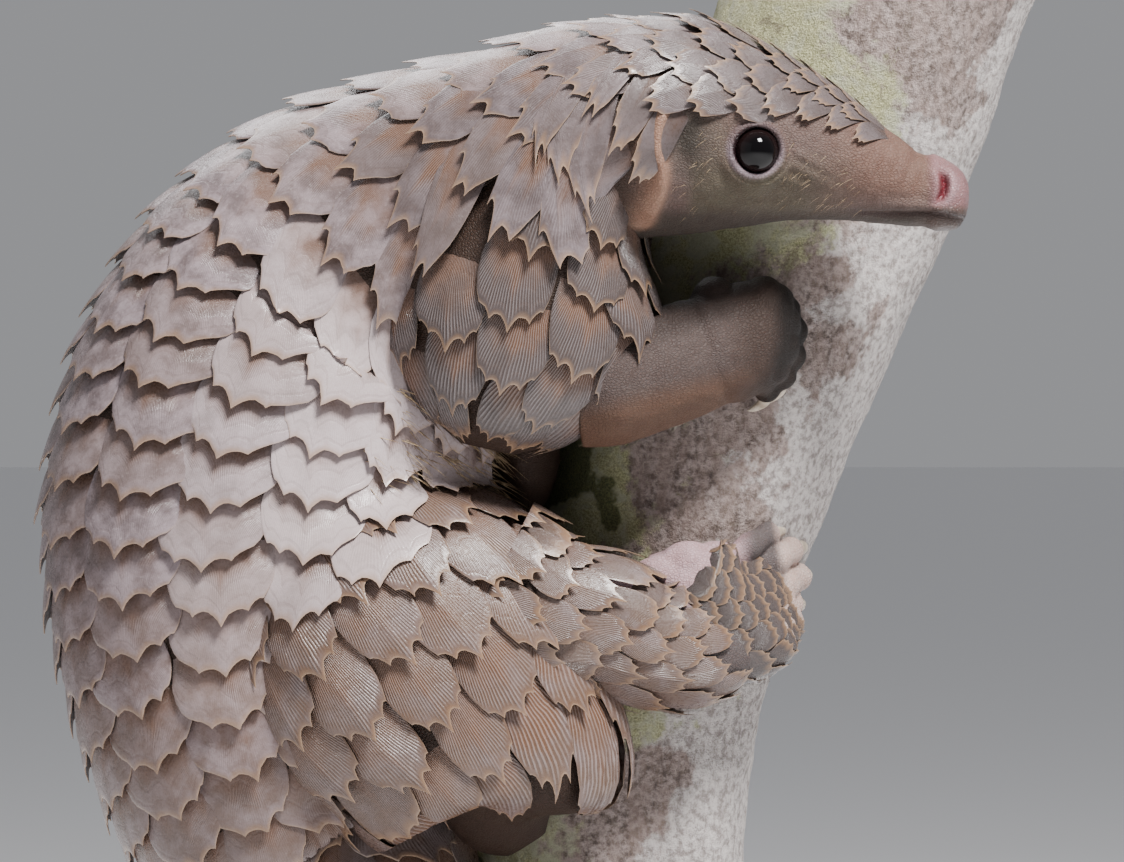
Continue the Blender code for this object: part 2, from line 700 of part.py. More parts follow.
def build_face(head, parts, cutters):
    """Eyes in their sockets with lids, nostrils, mouth line and ears."""
    def to_side(point, side):
        return (point[0], HEAD_Y + side * (point[1] - HEAD_Y), point[2])

    for name, side in (("right", 1), ("left", -1)):
        centre = to_side(EYE, side)
        way = np.array(EYE_WAY) * (1, side, 1)
        lid = lid_ring("lid", np.array(centre) + unit(way) * LID_DEPTH, way, cutters)
        carve(head, [lid], "UNION", cutters)
        holes = [ball("socket", centre, [EYE_RADIUS + GAP] * 3, cutters),
                 ball("nostril", to_side(NOSTRIL, side), NOSTRIL_RADII, cutters),
                 ball("hollow", to_side(EAR_HOLLOW, side), EAR_HOLLOW_RADII, cutters)]
        carve(head, holes, "DIFFERENCE", cutters)
        ball("eye_" + name, centre, [EYE_RADIUS] * 3, parts)
        line = [to_side(point[:3], side) for point in EAR_LINE]
        ear = strand("ear_" + name, line, [point[3] for point in EAR_LINE], (0, -side, 0), 8, parts)
        carve(ear, [swollen(head, cutters)], "DIFFERENCE", cutters)
    reach = HEAD[4][3] + 3
    mouth = box("mouth", (MOUTH_BACK, HEAD_Y - reach, MOUTH_LOW),
                (HEAD[0][0] + 3, HEAD_Y + reach, MOUTH_HIGH), cutters)
    carve(head, [mouth], "DIFFERENCE", cutters)


def limb_tube(table):
    """Tube for a limb, its back away from the trunk."""
    rows = np.array(table)
    side = -1 if rows[-1, 1] < TRUNK_Y else 1
    return Tube(rows[:, :3], [(0, side, 0)] * len(rows), rows[:, 3], rows[:, 4])


def build_limb(name, table, scales, lift, bare_from, parts):
    """Tube of a limb, with scales up to the section numbered bare_from."""
    tube = limb_tube(table)
    if not scales:
        return plain_tube(name, tube, 0, tube.length, BARE_HEIGHT, LIMB_SIDES, LIMB_STEP, parts)
    end = np.interp(bare_from, np.arange(len(tube.knots)), tube.knots)
    zone = Zone(tube, 0, tube.length, scales, (lift, lift),
                cover=lambda s: 1 - ramp(s, end - BARE_EDGE, end))
    return add_object(name, *closed_mesh(zone.rings(0, tube.length)), parts)


def mirrored(point, shift):
    """Point on the other side of the trunk, moved by the shift; None leaves it in place."""
    if shift is None:
        return tuple(point)
    return (point[0] + shift[0], 2 * TRUNK_Y - point[1] + shift[1], point[2] + shift[2])


def build_paw(name, table, digits, place, scales, bare_from, parts, cutters):
    """A hand or foot with digits and hooked claws; `place` puts each point on its side."""
    rows = [place(row[:3]) + tuple(row[3:]) for row in table]
    paw = build_limb(name, rows, scales, FOOT_LIFT, bare_from, parts)
    up = (0, -1 if rows[-1][1] < TRUNK_Y else 1, 0)
    pieces = []
    for root, knuckle, tip, thick, thin, bend, point, claw in digits:
        root, knuckle, tip, bend, point = (np.array(place(p))
                                           for p in (root, knuckle, tip, bend, point))
        end = tip + unit(tip - knuckle) * thin * DIGIT_END
        widths = np.array((thick, thick, thin, thin)) * DIGIT_SHAPE
        pieces.append(strand("digit", [root, knuckle, tip, end], widths, up, DIGIT_SIDES, cutters))
        start = tip + (knuckle - tip) * CLAW_START
        widths = [claw * share for share in CLAW_SHAPE] + [CLAW_POINT]
        pieces.append(strand("claw", [start, (tip + bend) / 2, bend, point], widths, up,
                             CLAW_SIDES, cutters))
    carve(paw, pieces, "UNION", cutters)
    return paw


def build_leg(side, leg, paw, place, spine, cuts, nearby, parts, cutters):
    """A leg of two joined tubes and its hand or foot, fitted to the body and the trunk."""
    name, upper, upper_scales, lower, lower_scales = leg
    limb = build_limb(name + side, upper, upper_scales, SCALE_LIFT, len(upper), parts)
    low = build_limb("low", lower, lower_scales, SCALE_LIFT, len(lower), cutters)
    carve(limb, [low], "UNION", cutters)
    core = plain_tube("core", spine, cuts["crown"], cuts["tail_1"], CORE_LIFT, CORE_SIDES,
                      CORE_STEP, cutters)
    carve(limb, [core], "DIFFERENCE", cutters)
    for near in nearby:
        carve(limb, [swollen(near, cutters)], "DIFFERENCE", cutters)
    name, table, digits, scales, bare_from = paw
    end = build_paw(name + side, table, digits, place, scales, bare_from, parts, cutters)
    carve(end, [swollen(limb, cutters, LEG_ROOM)], "DIFFERENCE", cutters)
    carve(end, [swollen(nearby[0], cutters)], "DIFFERENCE", cutters)


def main():
    for old in list(bpy.data.objects):
        bpy.data.objects.remove(old)
    parts = bpy.data.collections.new("pangolin")
    cutters = bpy.data.collections.new("cutters")
    for collection in (parts, cutters):
        bpy.context.scene.collection.children.link(collection)

    trunk = build_trunk(parts)
    build_stand(parts)
    spine, cuts, body = build_body(parts)
    build_face(body["head"], parts, cutters)

    nearby = (trunk, body["torso"], body["rump"])
    for side, arm, forearm, thigh, shank, hand_shift, foot_shift in (
            ("right", UPPER_ARM_RIGHT, FOREARM_RIGHT, THIGH_RIGHT, SHANK_RIGHT, None, None),
            ("left", UPPER_ARM_LEFT, FOREARM_LEFT, THIGH_LEFT, SHANK_LEFT, LEFT_HAND_SHIFT,
             LEFT_FOOT_SHIFT)):
        build_leg(side, ("foreleg_", arm, ARM_SCALES, forearm, None),
                  ("hand_", HAND, FINGERS, None, 0.0),
                  lambda point: mirrored(point, hand_shift), spine, cuts, nearby, parts, cutters)
        build_leg(side, ("hindleg_", thigh, THIGH_SCALES, shank, SHANK_SCALES),
                  ("foot_", FOOT, TOES, FOOT_SCALES, FOOT_BARE_FROM),
                  lambda point: mirrored(point, foot_shift), spine, cuts, nearby, parts, cutters)
    for name in ("neck", "torso", "rump", "tail_1", "tail_2"):
        carve(body[name], [swollen(trunk, cutters)], "DIFFERENCE", cutters)
    paint(parts)


def paint(parts):
    """A plain material for each node."""
    for obj in parts.objects:
        kind = next(kind for start, kind in KINDS if obj.name.startswith(start))
        colour, roughness = LOOKS[kind]
        material = bpy.data.materials.new(f"{kind}_{obj.name}")
        material.use_nodes = True
        surface = material.node_tree.nodes["Principled BSDF"]
        surface.inputs["Base Color"].default_value = colour + (1.0,)
        surface.inputs["Roughness"].default_value = roughness
        obj.data.materials.clear()
        obj.data.materials.append(material)


main()
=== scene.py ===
"""Looks of a white-bellied pangolin that clings to a cut length of tree trunk, on a display stand.

Tables are millimetres from the view's middle, a point on the animal's midplane at VIEW_HEIGHT;
the snout points to +X and the right side faces -Y. The skin and the plates of horn are laid on
tubes with oval sections: s runs along a tube's back, u runs round it from 0 on the back.
"""

import math

import bpy
import numpy as np
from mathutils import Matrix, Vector


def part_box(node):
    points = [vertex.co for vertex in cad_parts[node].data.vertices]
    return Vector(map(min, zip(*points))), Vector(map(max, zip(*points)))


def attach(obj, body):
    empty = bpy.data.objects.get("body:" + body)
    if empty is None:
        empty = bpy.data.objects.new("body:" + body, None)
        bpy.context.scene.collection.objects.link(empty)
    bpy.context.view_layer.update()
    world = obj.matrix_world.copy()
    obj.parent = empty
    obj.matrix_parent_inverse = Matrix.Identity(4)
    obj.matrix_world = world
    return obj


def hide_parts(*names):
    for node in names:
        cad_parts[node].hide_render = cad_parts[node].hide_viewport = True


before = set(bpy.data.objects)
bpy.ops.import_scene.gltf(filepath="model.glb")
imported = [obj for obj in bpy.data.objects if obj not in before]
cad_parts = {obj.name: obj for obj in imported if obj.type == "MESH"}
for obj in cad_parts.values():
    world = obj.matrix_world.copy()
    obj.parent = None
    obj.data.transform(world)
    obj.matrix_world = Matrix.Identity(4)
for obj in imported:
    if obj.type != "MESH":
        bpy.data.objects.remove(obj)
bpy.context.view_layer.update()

MM = 0.001
VIEW_HEIGHT = 312.0
SEED = 7

# Camera: it looks along +Y at the middle of the view
CAMERA_DISTANCE = 1.1
CAMERA_FIELD = 0.25852
SENSOR = 36.0

# Lights: name; place; size; power; colour
LIGHTS = [
    ("key", (0.42, -0.72, 1.40), 0.36, 72, (1.0, 0.99, 0.98)),
    ("fill", (-1.1, -0.9, 0.7), 1.2, 1.5, (0.97, 0.98, 1.0)),
    ("back", (-0.2, 0.9, 1.3), 0.9, 16, (0.97, 0.98, 1.0)),
]
LIGHT_TARGET = (0, 0, 0.3)
SKY = (0.90, 0.91, 0.95, 1.0)
SKY_STRENGTH = 0.34
FLOOR_REACH = 40000.0

# Trunk: rings of points and points of a ring; shares of the rings on a cut end
TRUNK_Y = 18.0
TRUNK_RADIUS = 35.0
TRUNK_GRID = (440, 260)
CUT_RINGS = (0.96, 0.8, 0.6, 0.4, 0.2, 0.05)
TRUNK_AXIS = [  # z, x
    (-252.0, 6.5), (-192.0, 6.5), (-145.0, 6.5), (-110.0, 7.5), (-77.0, 10.3), (-42.0, 17.5),
    (-4.5, 30.6), (54.0, 55.6), (100.5, 73.4), (114.0, 79.0),
]

# Head sections from snout to nape: x; top z; underside z; half width
HEAD_Y = -38.0
HEAD = [
    (90.2, 54.0, 50.6, 2.4),
    (88.6, 57.0, 46.8, 5.9),
    (85.0, 59.4, 45.5, 7.8),
    (79.5, 62.2, 45.4, 9.4),
    (72.8, 66.6, 46.0, 11.4),
    (64.0, 73.6, 46.8, 13.8),
    (55.1, 79.6, 47.0, 16.3),
    (46.2, 84.6, 46.4, 18.4),
    (37.3, 88.6, 45.1, 20.3),
    (28.4, 91.0, 43.8, 21.5),
]

# Body sections from nape to tail root: back x, z; belly x, z; y of the middle; half width
BODY = [
    ((20.7, 90.4), (18.4, 42.9), -38.0, 22.0),
    ((-0.4, 88.6), (11.2, 37.7), -33.0, 25.5),
    ((-21.8, 83.0), (2.9, 27.2), -24.0, 31.0),
    ((-43.6, 78.0), (-3.2, 13.9), -13.0, 38.0),
    ((-65.7, 71.2), (-6.9, 2.5), -5.0, 43.0),
    ((-88.5, 54.3), (-9.2, -5.5), 0.0, 46.0),
    ((-105.3, 29.2), (-10.3, -11.7), 0.0, 47.0),
    ((-115.0, 0.2), (-11.5, -17.7), 0.0, 47.5),
    ((-117.1, -29.7), (-12.9, -25.1), 0.0, 47.0),
    ((-112.7, -57.3), (-14.3, -35.4), 0.0, 46.0),
    ((-104.4, -82.6), (-16.1, -49.2), 0.0, 43.5),
    ((-91.3, -106.7), (-18.9, -65.3), 0.0, 39.0),
    ((-73.9, -124.9), (-22.0, -80.1), -2.0, 34.5),
]

# Tail: it bends off the rump and winds down round the trunk; lengths over which it leaves the
# body's slope and turns its back outward; first and last slope; gap to the trunk
TAIL_LENGTH = 430.0
TAIL_STEPS = 34
TAIL_BEND = 85.0
TAIL_TURN = 60.0
TAIL_SLOPES = (math.radians(70), math.radians(11.5))
TAIL_CLEARANCE = 3.7
TAIL_SHAPE = [  # share of the length, half width, half depth
    (0.00, 34.5, 34.3), (0.10, 31.0, 25.0), (0.20, 27.5, 18.0), (0.45, 23.0, 13.5),
    (0.75, 16.5, 10.0), (0.93, 11.5, 7.5), (0.985, 8.5, 5.5), (1.00, 4.0, 3.0),
]

# Limbs from inside the body outward: x, y, z; half width across; half thickness
UPPER_ARM_RIGHT = [
    (15.0, -38.0, 77.0, 5.0, 19.0), (9.0, -36.0, 68.0, 11.0, 22.0), (2.0, -34.5, 57.0, 17.5, 24.0),
    (-4.0, -33.5, 46.0, 24.0, 25.0), (-8.0, -33.5, 34.0, 28.5, 25.0), (-10.5, -35.0, 21.0, 29.0, 22.5),
    (-13.5, -36.5, 9.0, 24.0, 18.0), (-15.5, -37.0, 0.5, 15.0, 13.0), (-16.5, -37.0, -4.0, 6.0, 6.0),
]
FOREARM_RIGHT = [
    (2.0, -37.0, 10.0, 14.0, 13.0), (10.0, -37.5, 11.5, 15.0, 14.0), (20.0, -34.5, 13.5, 13.5, 12.5),
    (32.0, -30.5, 17.5, 12.6, 11.0), (36.0, -29.0, 19.0, 12.0, 10.0),
]
UPPER_ARM_LEFT = [
    (0.0, -10.0, 60.0, 20.0, 20.0), (-4.0, 8.0, 48.0, 24.0, 22.0), (-8.0, 28.0, 34.0, 27.0, 22.0),
    (-9.0, 46.0, 20.0, 26.0, 19.0), (-8.0, 56.0, 8.0, 22.0, 17.0), (-6.0, 61.0, 0.0, 15.0, 13.0),
    (-5.0, 62.0, -4.0, 6.0, 6.0),
]
FOREARM_LEFT = [
    (0.0, 58.0, 4.0, 13.0, 12.0), (8.0, 66.0, 5.0, 15.0, 13.5), (18.5, 68.5, 7.0, 13.5, 12.0),
    (30.0, 66.5, 11.5, 12.6, 11.0), (34.0, 65.0, 13.0, 12.0, 10.0),
]
THIGH_RIGHT = [
    (-56.0, -18.0, -20.0, 22.0, 26.0), (-46.0, -27.0, -34.0, 34.0, 27.0),
    (-34.0, -31.0, -50.0, 38.0, 24.0), (-22.0, -32.0, -66.0, 34.0, 21.0),
    (-12.0, -30.0, -80.0, 26.0, 17.0), (-11.0, -26.0, -88.0, 12.0, 10.0), (-8.0, -24.0, -93.0, 5.0, 5.0),
]
SHANK_RIGHT = [
    (-16.0, -33.0, -35.0, 20.0, 16.0), (-3.0, -35.0, -41.5, 17.5, 14.0), (10.0, -34.0, -44.0, 15.5, 12.0),
    (20.0, -32.0, -48.0, 13.0, 10.5), (29.0, -29.0, -48.5, 12.6, 9.5), (36.0, -26.0, -46.5, 10.5, 7.5),
    (41.0, -22.0, -44.0, 6.0, 4.5),
]
THIGH_LEFT = [
    (-56.0, 18.0, -24.0, 22.0, 26.0), (-46.0, 28.0, -38.0, 34.0, 27.0),
    (-34.0, 40.0, -54.0, 36.0, 24.0), (-22.0, 52.0, -68.0, 30.0, 20.0),
    (-12.0, 60.0, -78.0, 22.0, 16.0), (-6.0, 62.0, -86.0, 12.0, 10.0), (-3.0, 62.0, -90.0, 5.0, 5.0),
]
SHANK_LEFT = [
    (-16.0, 54.0, -48.0, 19.0, 13.0), (-3.0, 62.0, -52.0, 17.5, 13.0), (8.0, 67.0, -55.0, 15.0, 12.0),
    (18.0, 67.0, -57.0, 13.8, 10.5), (27.0, 65.0, -56.0, 12.6, 9.5), (34.0, 62.0, -54.0, 10.5, 7.5),
    (39.0, 58.0, -51.5, 6.0, 4.5),
]
HAND = [
    (29.0, -31.5, 16.4, 9.0, 7.0), (33.0, -30.3, 17.8, 12.4, 10.6), (41.0, -27.5, 20.8, 12.8, 10.0),
    (47.0, -26.0, 21.8, 12.0, 9.0), (51.0, -25.0, 21.4, 9.5, 7.5),
]
FOOT = [
    (17.0, -20.5, -34.5, 7.0, 5.0), (22.0, -23.0, -36.5, 11.0, 7.5), (32.0, -24.5, -41.0, 16.0, 8.5),
    (42.0, -20.0, -41.0, 14.5, 7.5), (49.0, -12.0, -38.0, 11.0, 6.0), (52.5, -5.5, -36.5, 8.0, 4.5),
]

# Digits: root; knuckle; tip; thickness at root and tip; claw bend; claw point; claw half width
TOES = [
    ((38.0, -19.0, -29.5), (42.5, -15.5, -26.0), (47.3, -9.0, -23.4), 3.0, 2.7,
     (50.8, -1.0, -22.4), (53.2, 5.0, -23.2), 1.6),
    ((42.0, -15.0, -32.5), (48.5, -9.5, -29.4), (52.6, -1.5, -27.3), 3.3, 3.0,
     (55.4, 7.0, -27.0), (55.6, 14.0, -28.4), 1.9),
    ((44.5, -12.0, -37.5), (50.4, -6.5, -35.4), (54.6, 1.5, -33.4), 3.4, 3.1,
     (56.4, 10.0, -33.6), (55.4, 17.0, -35.2), 2.0),
    ((43.5, -13.0, -42.0), (49.0, -7.5, -40.8), (52.8, -0.5, -39.6), 3.2, 2.9,
     (54.8, 7.0, -40.2), (54.2, 14.0, -41.8), 1.9),
    ((41.0, -16.5, -46.0), (45.6, -11.5, -45.8), (49.2, -5.0, -44.8), 2.9, 2.5,
     (52.0, 1.5, -45.6), (52.8, 7.5, -47.2), 1.6),
]
FINGERS = [
    ((43.0, -27.0, 28.6), (47.4, -27.5, 28.4), (50.4, -22.5, 26.4), 4.4, 3.6,
     (50.2, -18.4, 23.8), (46.6, -17.6, 21.4), 1.7),
    ((44.0, -27.0, 24.6), (48.8, -27.0, 24.2), (51.8, -21.5, 22.0), 4.8, 3.8,
     (51.2, -17.4, 18.6), (47.0, -17.2, 15.8), 2.2),
    ((44.0, -27.0, 20.0), (48.6, -27.0, 19.0), (51.4, -21.5, 16.6), 4.8, 3.8,
     (50.4, -17.2, 12.8), (46.0, -17.2, 9.8), 2.4),
    ((43.0, -26.5, 15.8), (46.9, -26.6, 14.8), (49.5, -21.5, 12.4), 4.4, 3.5,
     (48.4, -17.4, 8.8), (44.4, -17.2, 6.4), 2.0),
    ((41.0, -26.0, 12.6), (44.4, -25.6, 11.6), (46.6, -21.5, 9.2), 3.7, 3.0,
     (45.4, -18.0, 6.4), (42.0, -17.6, 4.6), 1.5),
]
HAND_PADS = [((34.2, -28.5, 27.4), (5.9, 6.5, 7.4)), ((45.0, -27.5, 27.2), (5.9, 7.0, 7.6)),
             ((42.5, -26.5, 20.5), (8.6, 8.0, 10.6))]
FOOT_PADS = [((22.5, -25.0, -32.6), (6.5, 6.0, 4.8)), ((28.5, -24.0, -30.6), (7.5, 6.2, 5.8)),
             ((35.0, -21.5, -29.4), (5.5, 5.8, 4.8))]
LEFT_HAND_SHIFT = (-2.3, 0.2, -6.4)
LEFT_FOOT_SHIFT = (-2.0, 0.0, -8.0)
PAWS = [  # limb that melts into it; flesh; digits; pads; shift to the left side
    ("forearm_right", HAND, FINGERS, HAND_PADS, None),
    ("forearm_left", HAND, FINGERS, HAND_PADS, LEFT_HAND_SHIFT),
    (None, FOOT, TOES, FOOT_PADS, None),
    (None, FOOT, TOES, FOOT_PADS, LEFT_FOOT_SHIFT),
]

# Limbs with a skin of their own, in the order of their cells on the bake map
SLEEVES = ("upper_arm_right", "upper_arm_left", "thigh_right", "thigh_left", "shank_right", "shank_left")
SLEEVE_SIDES = 64

# Fold of the belly: middle; half sizes
BELLY_FOLD = ((-9.0, 0.0, -5.0), (8.5, 27.0, 15.0))

# Face: middle, direction and size of the right eyeball, and rows and columns of its mesh
EYE = (42.2, -54.2, 61.4)
EYE_WAY = (0.2, -0.97, -0.1)
EYE_RADIUS = 5.3
EYE_GRID = (49, 72)
LID_PROFILE = [  # distance from the eye's axis on the plain skin; distance and height on the lids
    (0.0, 0.0, -2.0), (3.2, 3.6, -1.0), (4.2, 4.75, 0.6), (4.8, 4.88, 2.2), (5.2, 5.12, 2.95),
    (5.7, 5.6, 3.3), (6.2, 6.2, 3.15), (6.8, 6.8, 2.7), (7.4, 7.4, 2.35), (8.2, 8.2, 2.5),
]
LID_BLEND = (7.4, 10.0)
NOSTRIL = (84.2, -44.6, 53.6)
MOUTH_BACK = 72.0
EAR_LINE = [(23.6, 71.0), (21.6, 67.0), (21.0, 61.5), (22.2, 56.5), (21.4, 51.0), (18.8, 45.5)]  # x, z

# Hairs of belly and cheeks: number on each side; ranges of s and u; depth of the roots; way;
# scatter; lengths; half widths
HAIRS = [
    (170, (206, 266), (0.60, 0.86), 0.5, (1.0, -0.35, -0.35), 0.22, (6.0, 13.0), (0.14, 0.3)),
    (110, (30, 76), (0.52, 0.84), 0.2, (-0.8, -0.45, -0.45), 0.2, (1.6, 3.6), (0.035, 0.06)),
]
HAIRLESS = 7.5  # round the eyes

# A hair: shares of its length with a ring of corners; corners of a ring
HAIR_RINGS = (0.0, 0.35, 0.7, 1.0)
HAIR_SIDES = 3
HAIR_CORNERS = len(HAIR_RINGS) * HAIR_SIDES

# Stand: roundings of the plinth's lower and upper edge
PLINTH_EDGES = (0.8, 3.6)
PLINTH_SIDES = 160


# Curves and tubes

def smooth(knots, values, at):
    """Smooth curve through the values at the knots, for numbers or for points."""
    knots = np.asarray(knots, float)
    values = np.asarray(values, float)
    at = np.clip(np.asarray(at, float), knots[0], knots[-1])
    slopes = np.gradient(values, knots, axis=0)
    i = np.clip(np.searchsorted(knots, at, side="right") - 1, 0, len(knots) - 2)
    step = knots[i + 1] - knots[i]
    t = (at - knots[i]) / step
    if values.ndim == 2:
        t, step = t[..., None], step[..., None]
    rise = t * t * (3 - 2 * t)
    return (values[i] * (1 - rise) + values[i + 1] * rise
            + slopes[i] * step * t * (1 - t) ** 2 - slopes[i + 1] * step * t * t * (1 - t))


def ramp(x, low, high):
    """0 below low, 1 above high, smooth between them."""
    t = np.clip((np.asarray(x, float) - low) / (high - low), 0, 1)
    return t * t * (3 - 2 * t)


def lookup(table, at):
    """Value at a place in a table of places and values, straight between its rows."""
    return np.interp(at, *np.transpose(table))


def bump(x, middle, width):
    """1 at the middle, falling smoothly to 0 over about twice the width."""
    return np.exp(-((x - middle) / width) ** 2)


def unit(v):
    """Directions of length one."""
    return v / np.linalg.norm(v, axis=-1, keepdims=True)


class Tube:
    """A tube with oval sections; `up` points to each section's back, `s` runs along the back."""

    def __init__(self, centres, ups, half_widths, half_depths):
        self.centres = np.array(centres, float)
        self.ups = unit(np.array(ups, float))
        self.half_widths = np.array(half_widths, float)
        self.half_depths = np.array(half_depths, float)
        back = self.centres + self.ups * self.half_depths[:, None]
        steps = np.linalg.norm(np.diff(back, axis=0), axis=1)
        self.knots = np.concatenate([[0], np.cumsum(steps)])
        self.length = self.knots[-1]

    def frame(self, s):
        """Centre, back direction, right direction and half sizes of the section at s."""
        centre = smooth(self.knots, self.centres, s)
        up = unit(smooth(self.knots, self.ups, s))
        near = np.clip(s - 0.5, 0, self.length - 1)
        way = smooth(self.knots, self.centres, near + 1) - smooth(self.knots, self.centres, near)
        right = unit(np.cross(up, way))
        return (centre, up, right, smooth(self.knots, self.half_widths, s),
                smooth(self.knots, self.half_depths, s))

    def surface(self, s, u, height=0.0):
        """Points over the surface; u is 0 on the back and runs to -1 and 1 round the sides."""
        centre, up, right, a, b = self.frame(s)
        turn = math.pi * u
        turn = turn - (a * a - b * b) / (a * a + b * b) / 4 * np.sin(2 * turn)
        side, top = np.sin(turn), np.cos(turn)
        size = np.sqrt((b * side) ** 2 + (a * top) ** 2)
        across = side * (a + height * b / size)
        along = top * (b + height * a / size)
        return centre + right * across[..., None] + up * along[..., None]


def trunk_x(z):
    """x of the trunk's axis."""
    axis = np.array(TRUNK_AXIS)
    return smooth(axis[:, 0], axis[:, 1], z)


def spine_tube():
    """One tube from the snout to the tip of the tail, and places along it."""
    sections = [((x, HEAD_Y, (top + low) / 2), (0, 0, 1), width, (top - low) / 2)
                for x, top, low, width in HEAD]
    for back, belly, y, width in BODY:
        across = np.array([back[0] - belly[0], 0, back[1] - belly[1]])
        sections.append((((back[0] + belly[0]) / 2, y, (back[1] + belly[1]) / 2), unit(across),
                         width, np.linalg.norm(across) / 2))
    tube = Tube(*zip(*(sections + tail_sections(sections[-1]))))
    root = len(HEAD) + len(BODY) - 1
    places = {"crown": tube.knots[5], "nape": tube.knots[len(HEAD)], "turn": tube.knots[len(HEAD) + 8],
              "root": tube.knots[root]}
    return tube, places


def tail_sections(root):
    """Sections of the tail, bending off the body and winding round the trunk."""
    (x, y, z), body_up = root[0], root[1]
    shape = np.array(TAIL_SHAPE)
    step = TAIL_LENGTH / TAIL_STEPS
    out = np.array([x - trunk_x(z), y - TRUNK_Y])
    nearest, turn = np.linalg.norm(out), math.atan2(out[1], out[0])
    sections = []
    for i in range(1, TAIL_STEPS + 1):
        s = i * step
        slope = TAIL_SLOPES[0] + (TAIL_SLOPES[1] - TAIL_SLOPES[0]) * ramp(s, 0, TAIL_BEND)
        width, depth = smooth(shape[:, 0], shape[:, 1:], s / TAIL_LENGTH)
        radius = min(nearest, TRUNK_RADIUS + TAIL_CLEARANCE + depth)
        z -= math.sin(slope) * step
        turn += math.cos(slope) * step / radius
        outward = np.array([math.cos(turn), math.sin(turn), 0])
        share = ramp(s, 0, TAIL_TURN)
        sections.append(((trunk_x(z) + radius * outward[0], TRUNK_Y + radius * outward[1], z),
                         unit(body_up * (1 - share) + outward * share), width, depth))
    return sections


def limb_tube(table):
    """Tube for a limb, its back away from the trunk."""
    rows = np.array(table)
    side = -1 if rows[-1, 1] < TRUNK_Y else 1
    return Tube(rows[:, :3], [(0, side, 0)] * len(rows), rows[:, 3], rows[:, 4])


# Meshes

def place(points):
    """Millimetres from the view's middle to metres in the model's frame."""
    return (np.asarray(points, float).reshape(-1, 3) + (0, 0, VIEW_HEIGHT)) * MM


def add_object(name, data):
    """New object in the scene."""
    obj = bpy.data.objects.new(name, data)
    bpy.context.scene.collection.objects.link(obj)
    return obj


def make_object(name, points, quads, polygons=()):
    """Mesh object from points in millimetres, an array of quads and other polygons."""
    mesh = bpy.data.meshes.new(name)
    quads = np.asarray(quads, np.int32).reshape(-1, 4)
    mesh.vertices.add(len(points))
    mesh.vertices.foreach_set("co", place(points).astype(np.float32).ravel())
    corners = np.concatenate([quads.ravel()] + [np.asarray(p, np.int32) for p in polygons])
    sizes = np.concatenate([np.full(len(quads), 4)] + [[len(p)] for p in polygons]).astype(np.int32)
    mesh.loops.add(len(corners))
    mesh.loops.foreach_set("vertex_index", corners.astype(np.int32))
    mesh.polygons.add(len(sizes))
    mesh.polygons.foreach_set("loop_start", np.concatenate([[0], np.cumsum(sizes)[:-1]]).astype(np.int32))
    mesh.update(calc_edges=True)
    mesh.polygons.foreach_set("use_smooth", np.ones(len(sizes), bool))
    return add_object(name, mesh)


def grid_quads(rows, columns, wrap=False):
    """Quads of a grid of points, numbered row by row; `wrap` joins the last column to the first."""
    j, k = np.meshgrid(np.arange(rows - 1), np.arange(columns if wrap else columns - 1), indexing="ij")
    a, b = j * columns + k, j * columns + (k + 1) % columns
    return np.stack([a, b, b + columns, a + columns], axis=-1).reshape(-1, 4)


def set_layer(obj, name, values):
    """Point attribute of four numbers a vertex, read by the materials."""
    layer = obj.data.attributes.new(name, "FLOAT_COLOR", "POINT")
    layer.data.foreach_set("color", np.asarray(values, np.float32).ravel())


def set_bake_map(obj, uv):
    """Bake map from one place for each vertex."""
    layer = obj.data.uv_layers.new(name="OFBake")
    corners = np.zeros(len(obj.data.loops), np.int32)
    obj.data.loops.foreach_get("vertex_index", corners)
    layer.data.foreach_set("uv", np.asarray(uv, np.float32)[corners].ravel())


HASH_STEPS = np.array((374761393, 668265263, 2147483647))
HASH_SPAN = 2 ** 32


def noise(points, size, seed=0):
    """Smooth value noise from -1 to 1, for arrays of points in millimetres."""
    p = np.asarray(points, float) / size + seed * 17.3
    cell = np.floor(p).astype(np.int64)
    t = p - cell
    t = t * t * (3 - 2 * t)
    total = 0
    for corner in np.ndindex(2, 2, 2):
        c = cell + corner
        h = (c @ HASH_STEPS + seed * 144665) % HASH_SPAN
        h = ((h ^ (h >> 13)) * 1274126177) % HASH_SPAN
        value = ((h ^ (h >> 16)) % 65536) / 32767.5 - 1
        weight = np.prod(np.where(np.array(corner) == 1, t, 1 - t), axis=-1)
        total = total + value * weight
    return total


# Plates of horn

# Outline of half a plate in units of the column spacing across and of the row period along,
# from its tip: an even plate; the side that lies on the next plate; the side tucked under it
EVEN_SIDE = [
    (0.0, 0.03), (0.035, -0.07), (0.08, -0.17), (0.13, -0.235), (0.185, -0.262), (0.235, -0.258),
    (0.275, -0.232), (0.30, -0.20), (0.325, -0.275), (0.375, -0.36), (0.43, -0.40), (0.475, -0.405),
    (0.53, -0.56), (0.575, -0.76), (0.60, -1.0),
]
STEEP_SIDE = [
    (0.0, 0.03), (0.03, -0.08), (0.07, -0.19), (0.115, -0.265), (0.16, -0.305), (0.205, -0.31),
    (0.24, -0.285), (0.265, -0.25), (0.285, -0.33), (0.315, -0.42), (0.345, -0.49), (0.375, -0.52),
    (0.41, -0.64), (0.44, -0.80), (0.46, -1.0),
]
TUCKED_SIDE = [
    (0.0, 0.03), (0.04, -0.06), (0.09, -0.15), (0.14, -0.205), (0.195, -0.225), (0.25, -0.215),
    (0.29, -0.195), (0.32, -0.165), (0.36, -0.24), (0.43, -0.33), (0.52, -0.43), (0.61, -0.52),
    (0.69, -0.64), (0.75, -0.80), (0.78, -1.0),
]

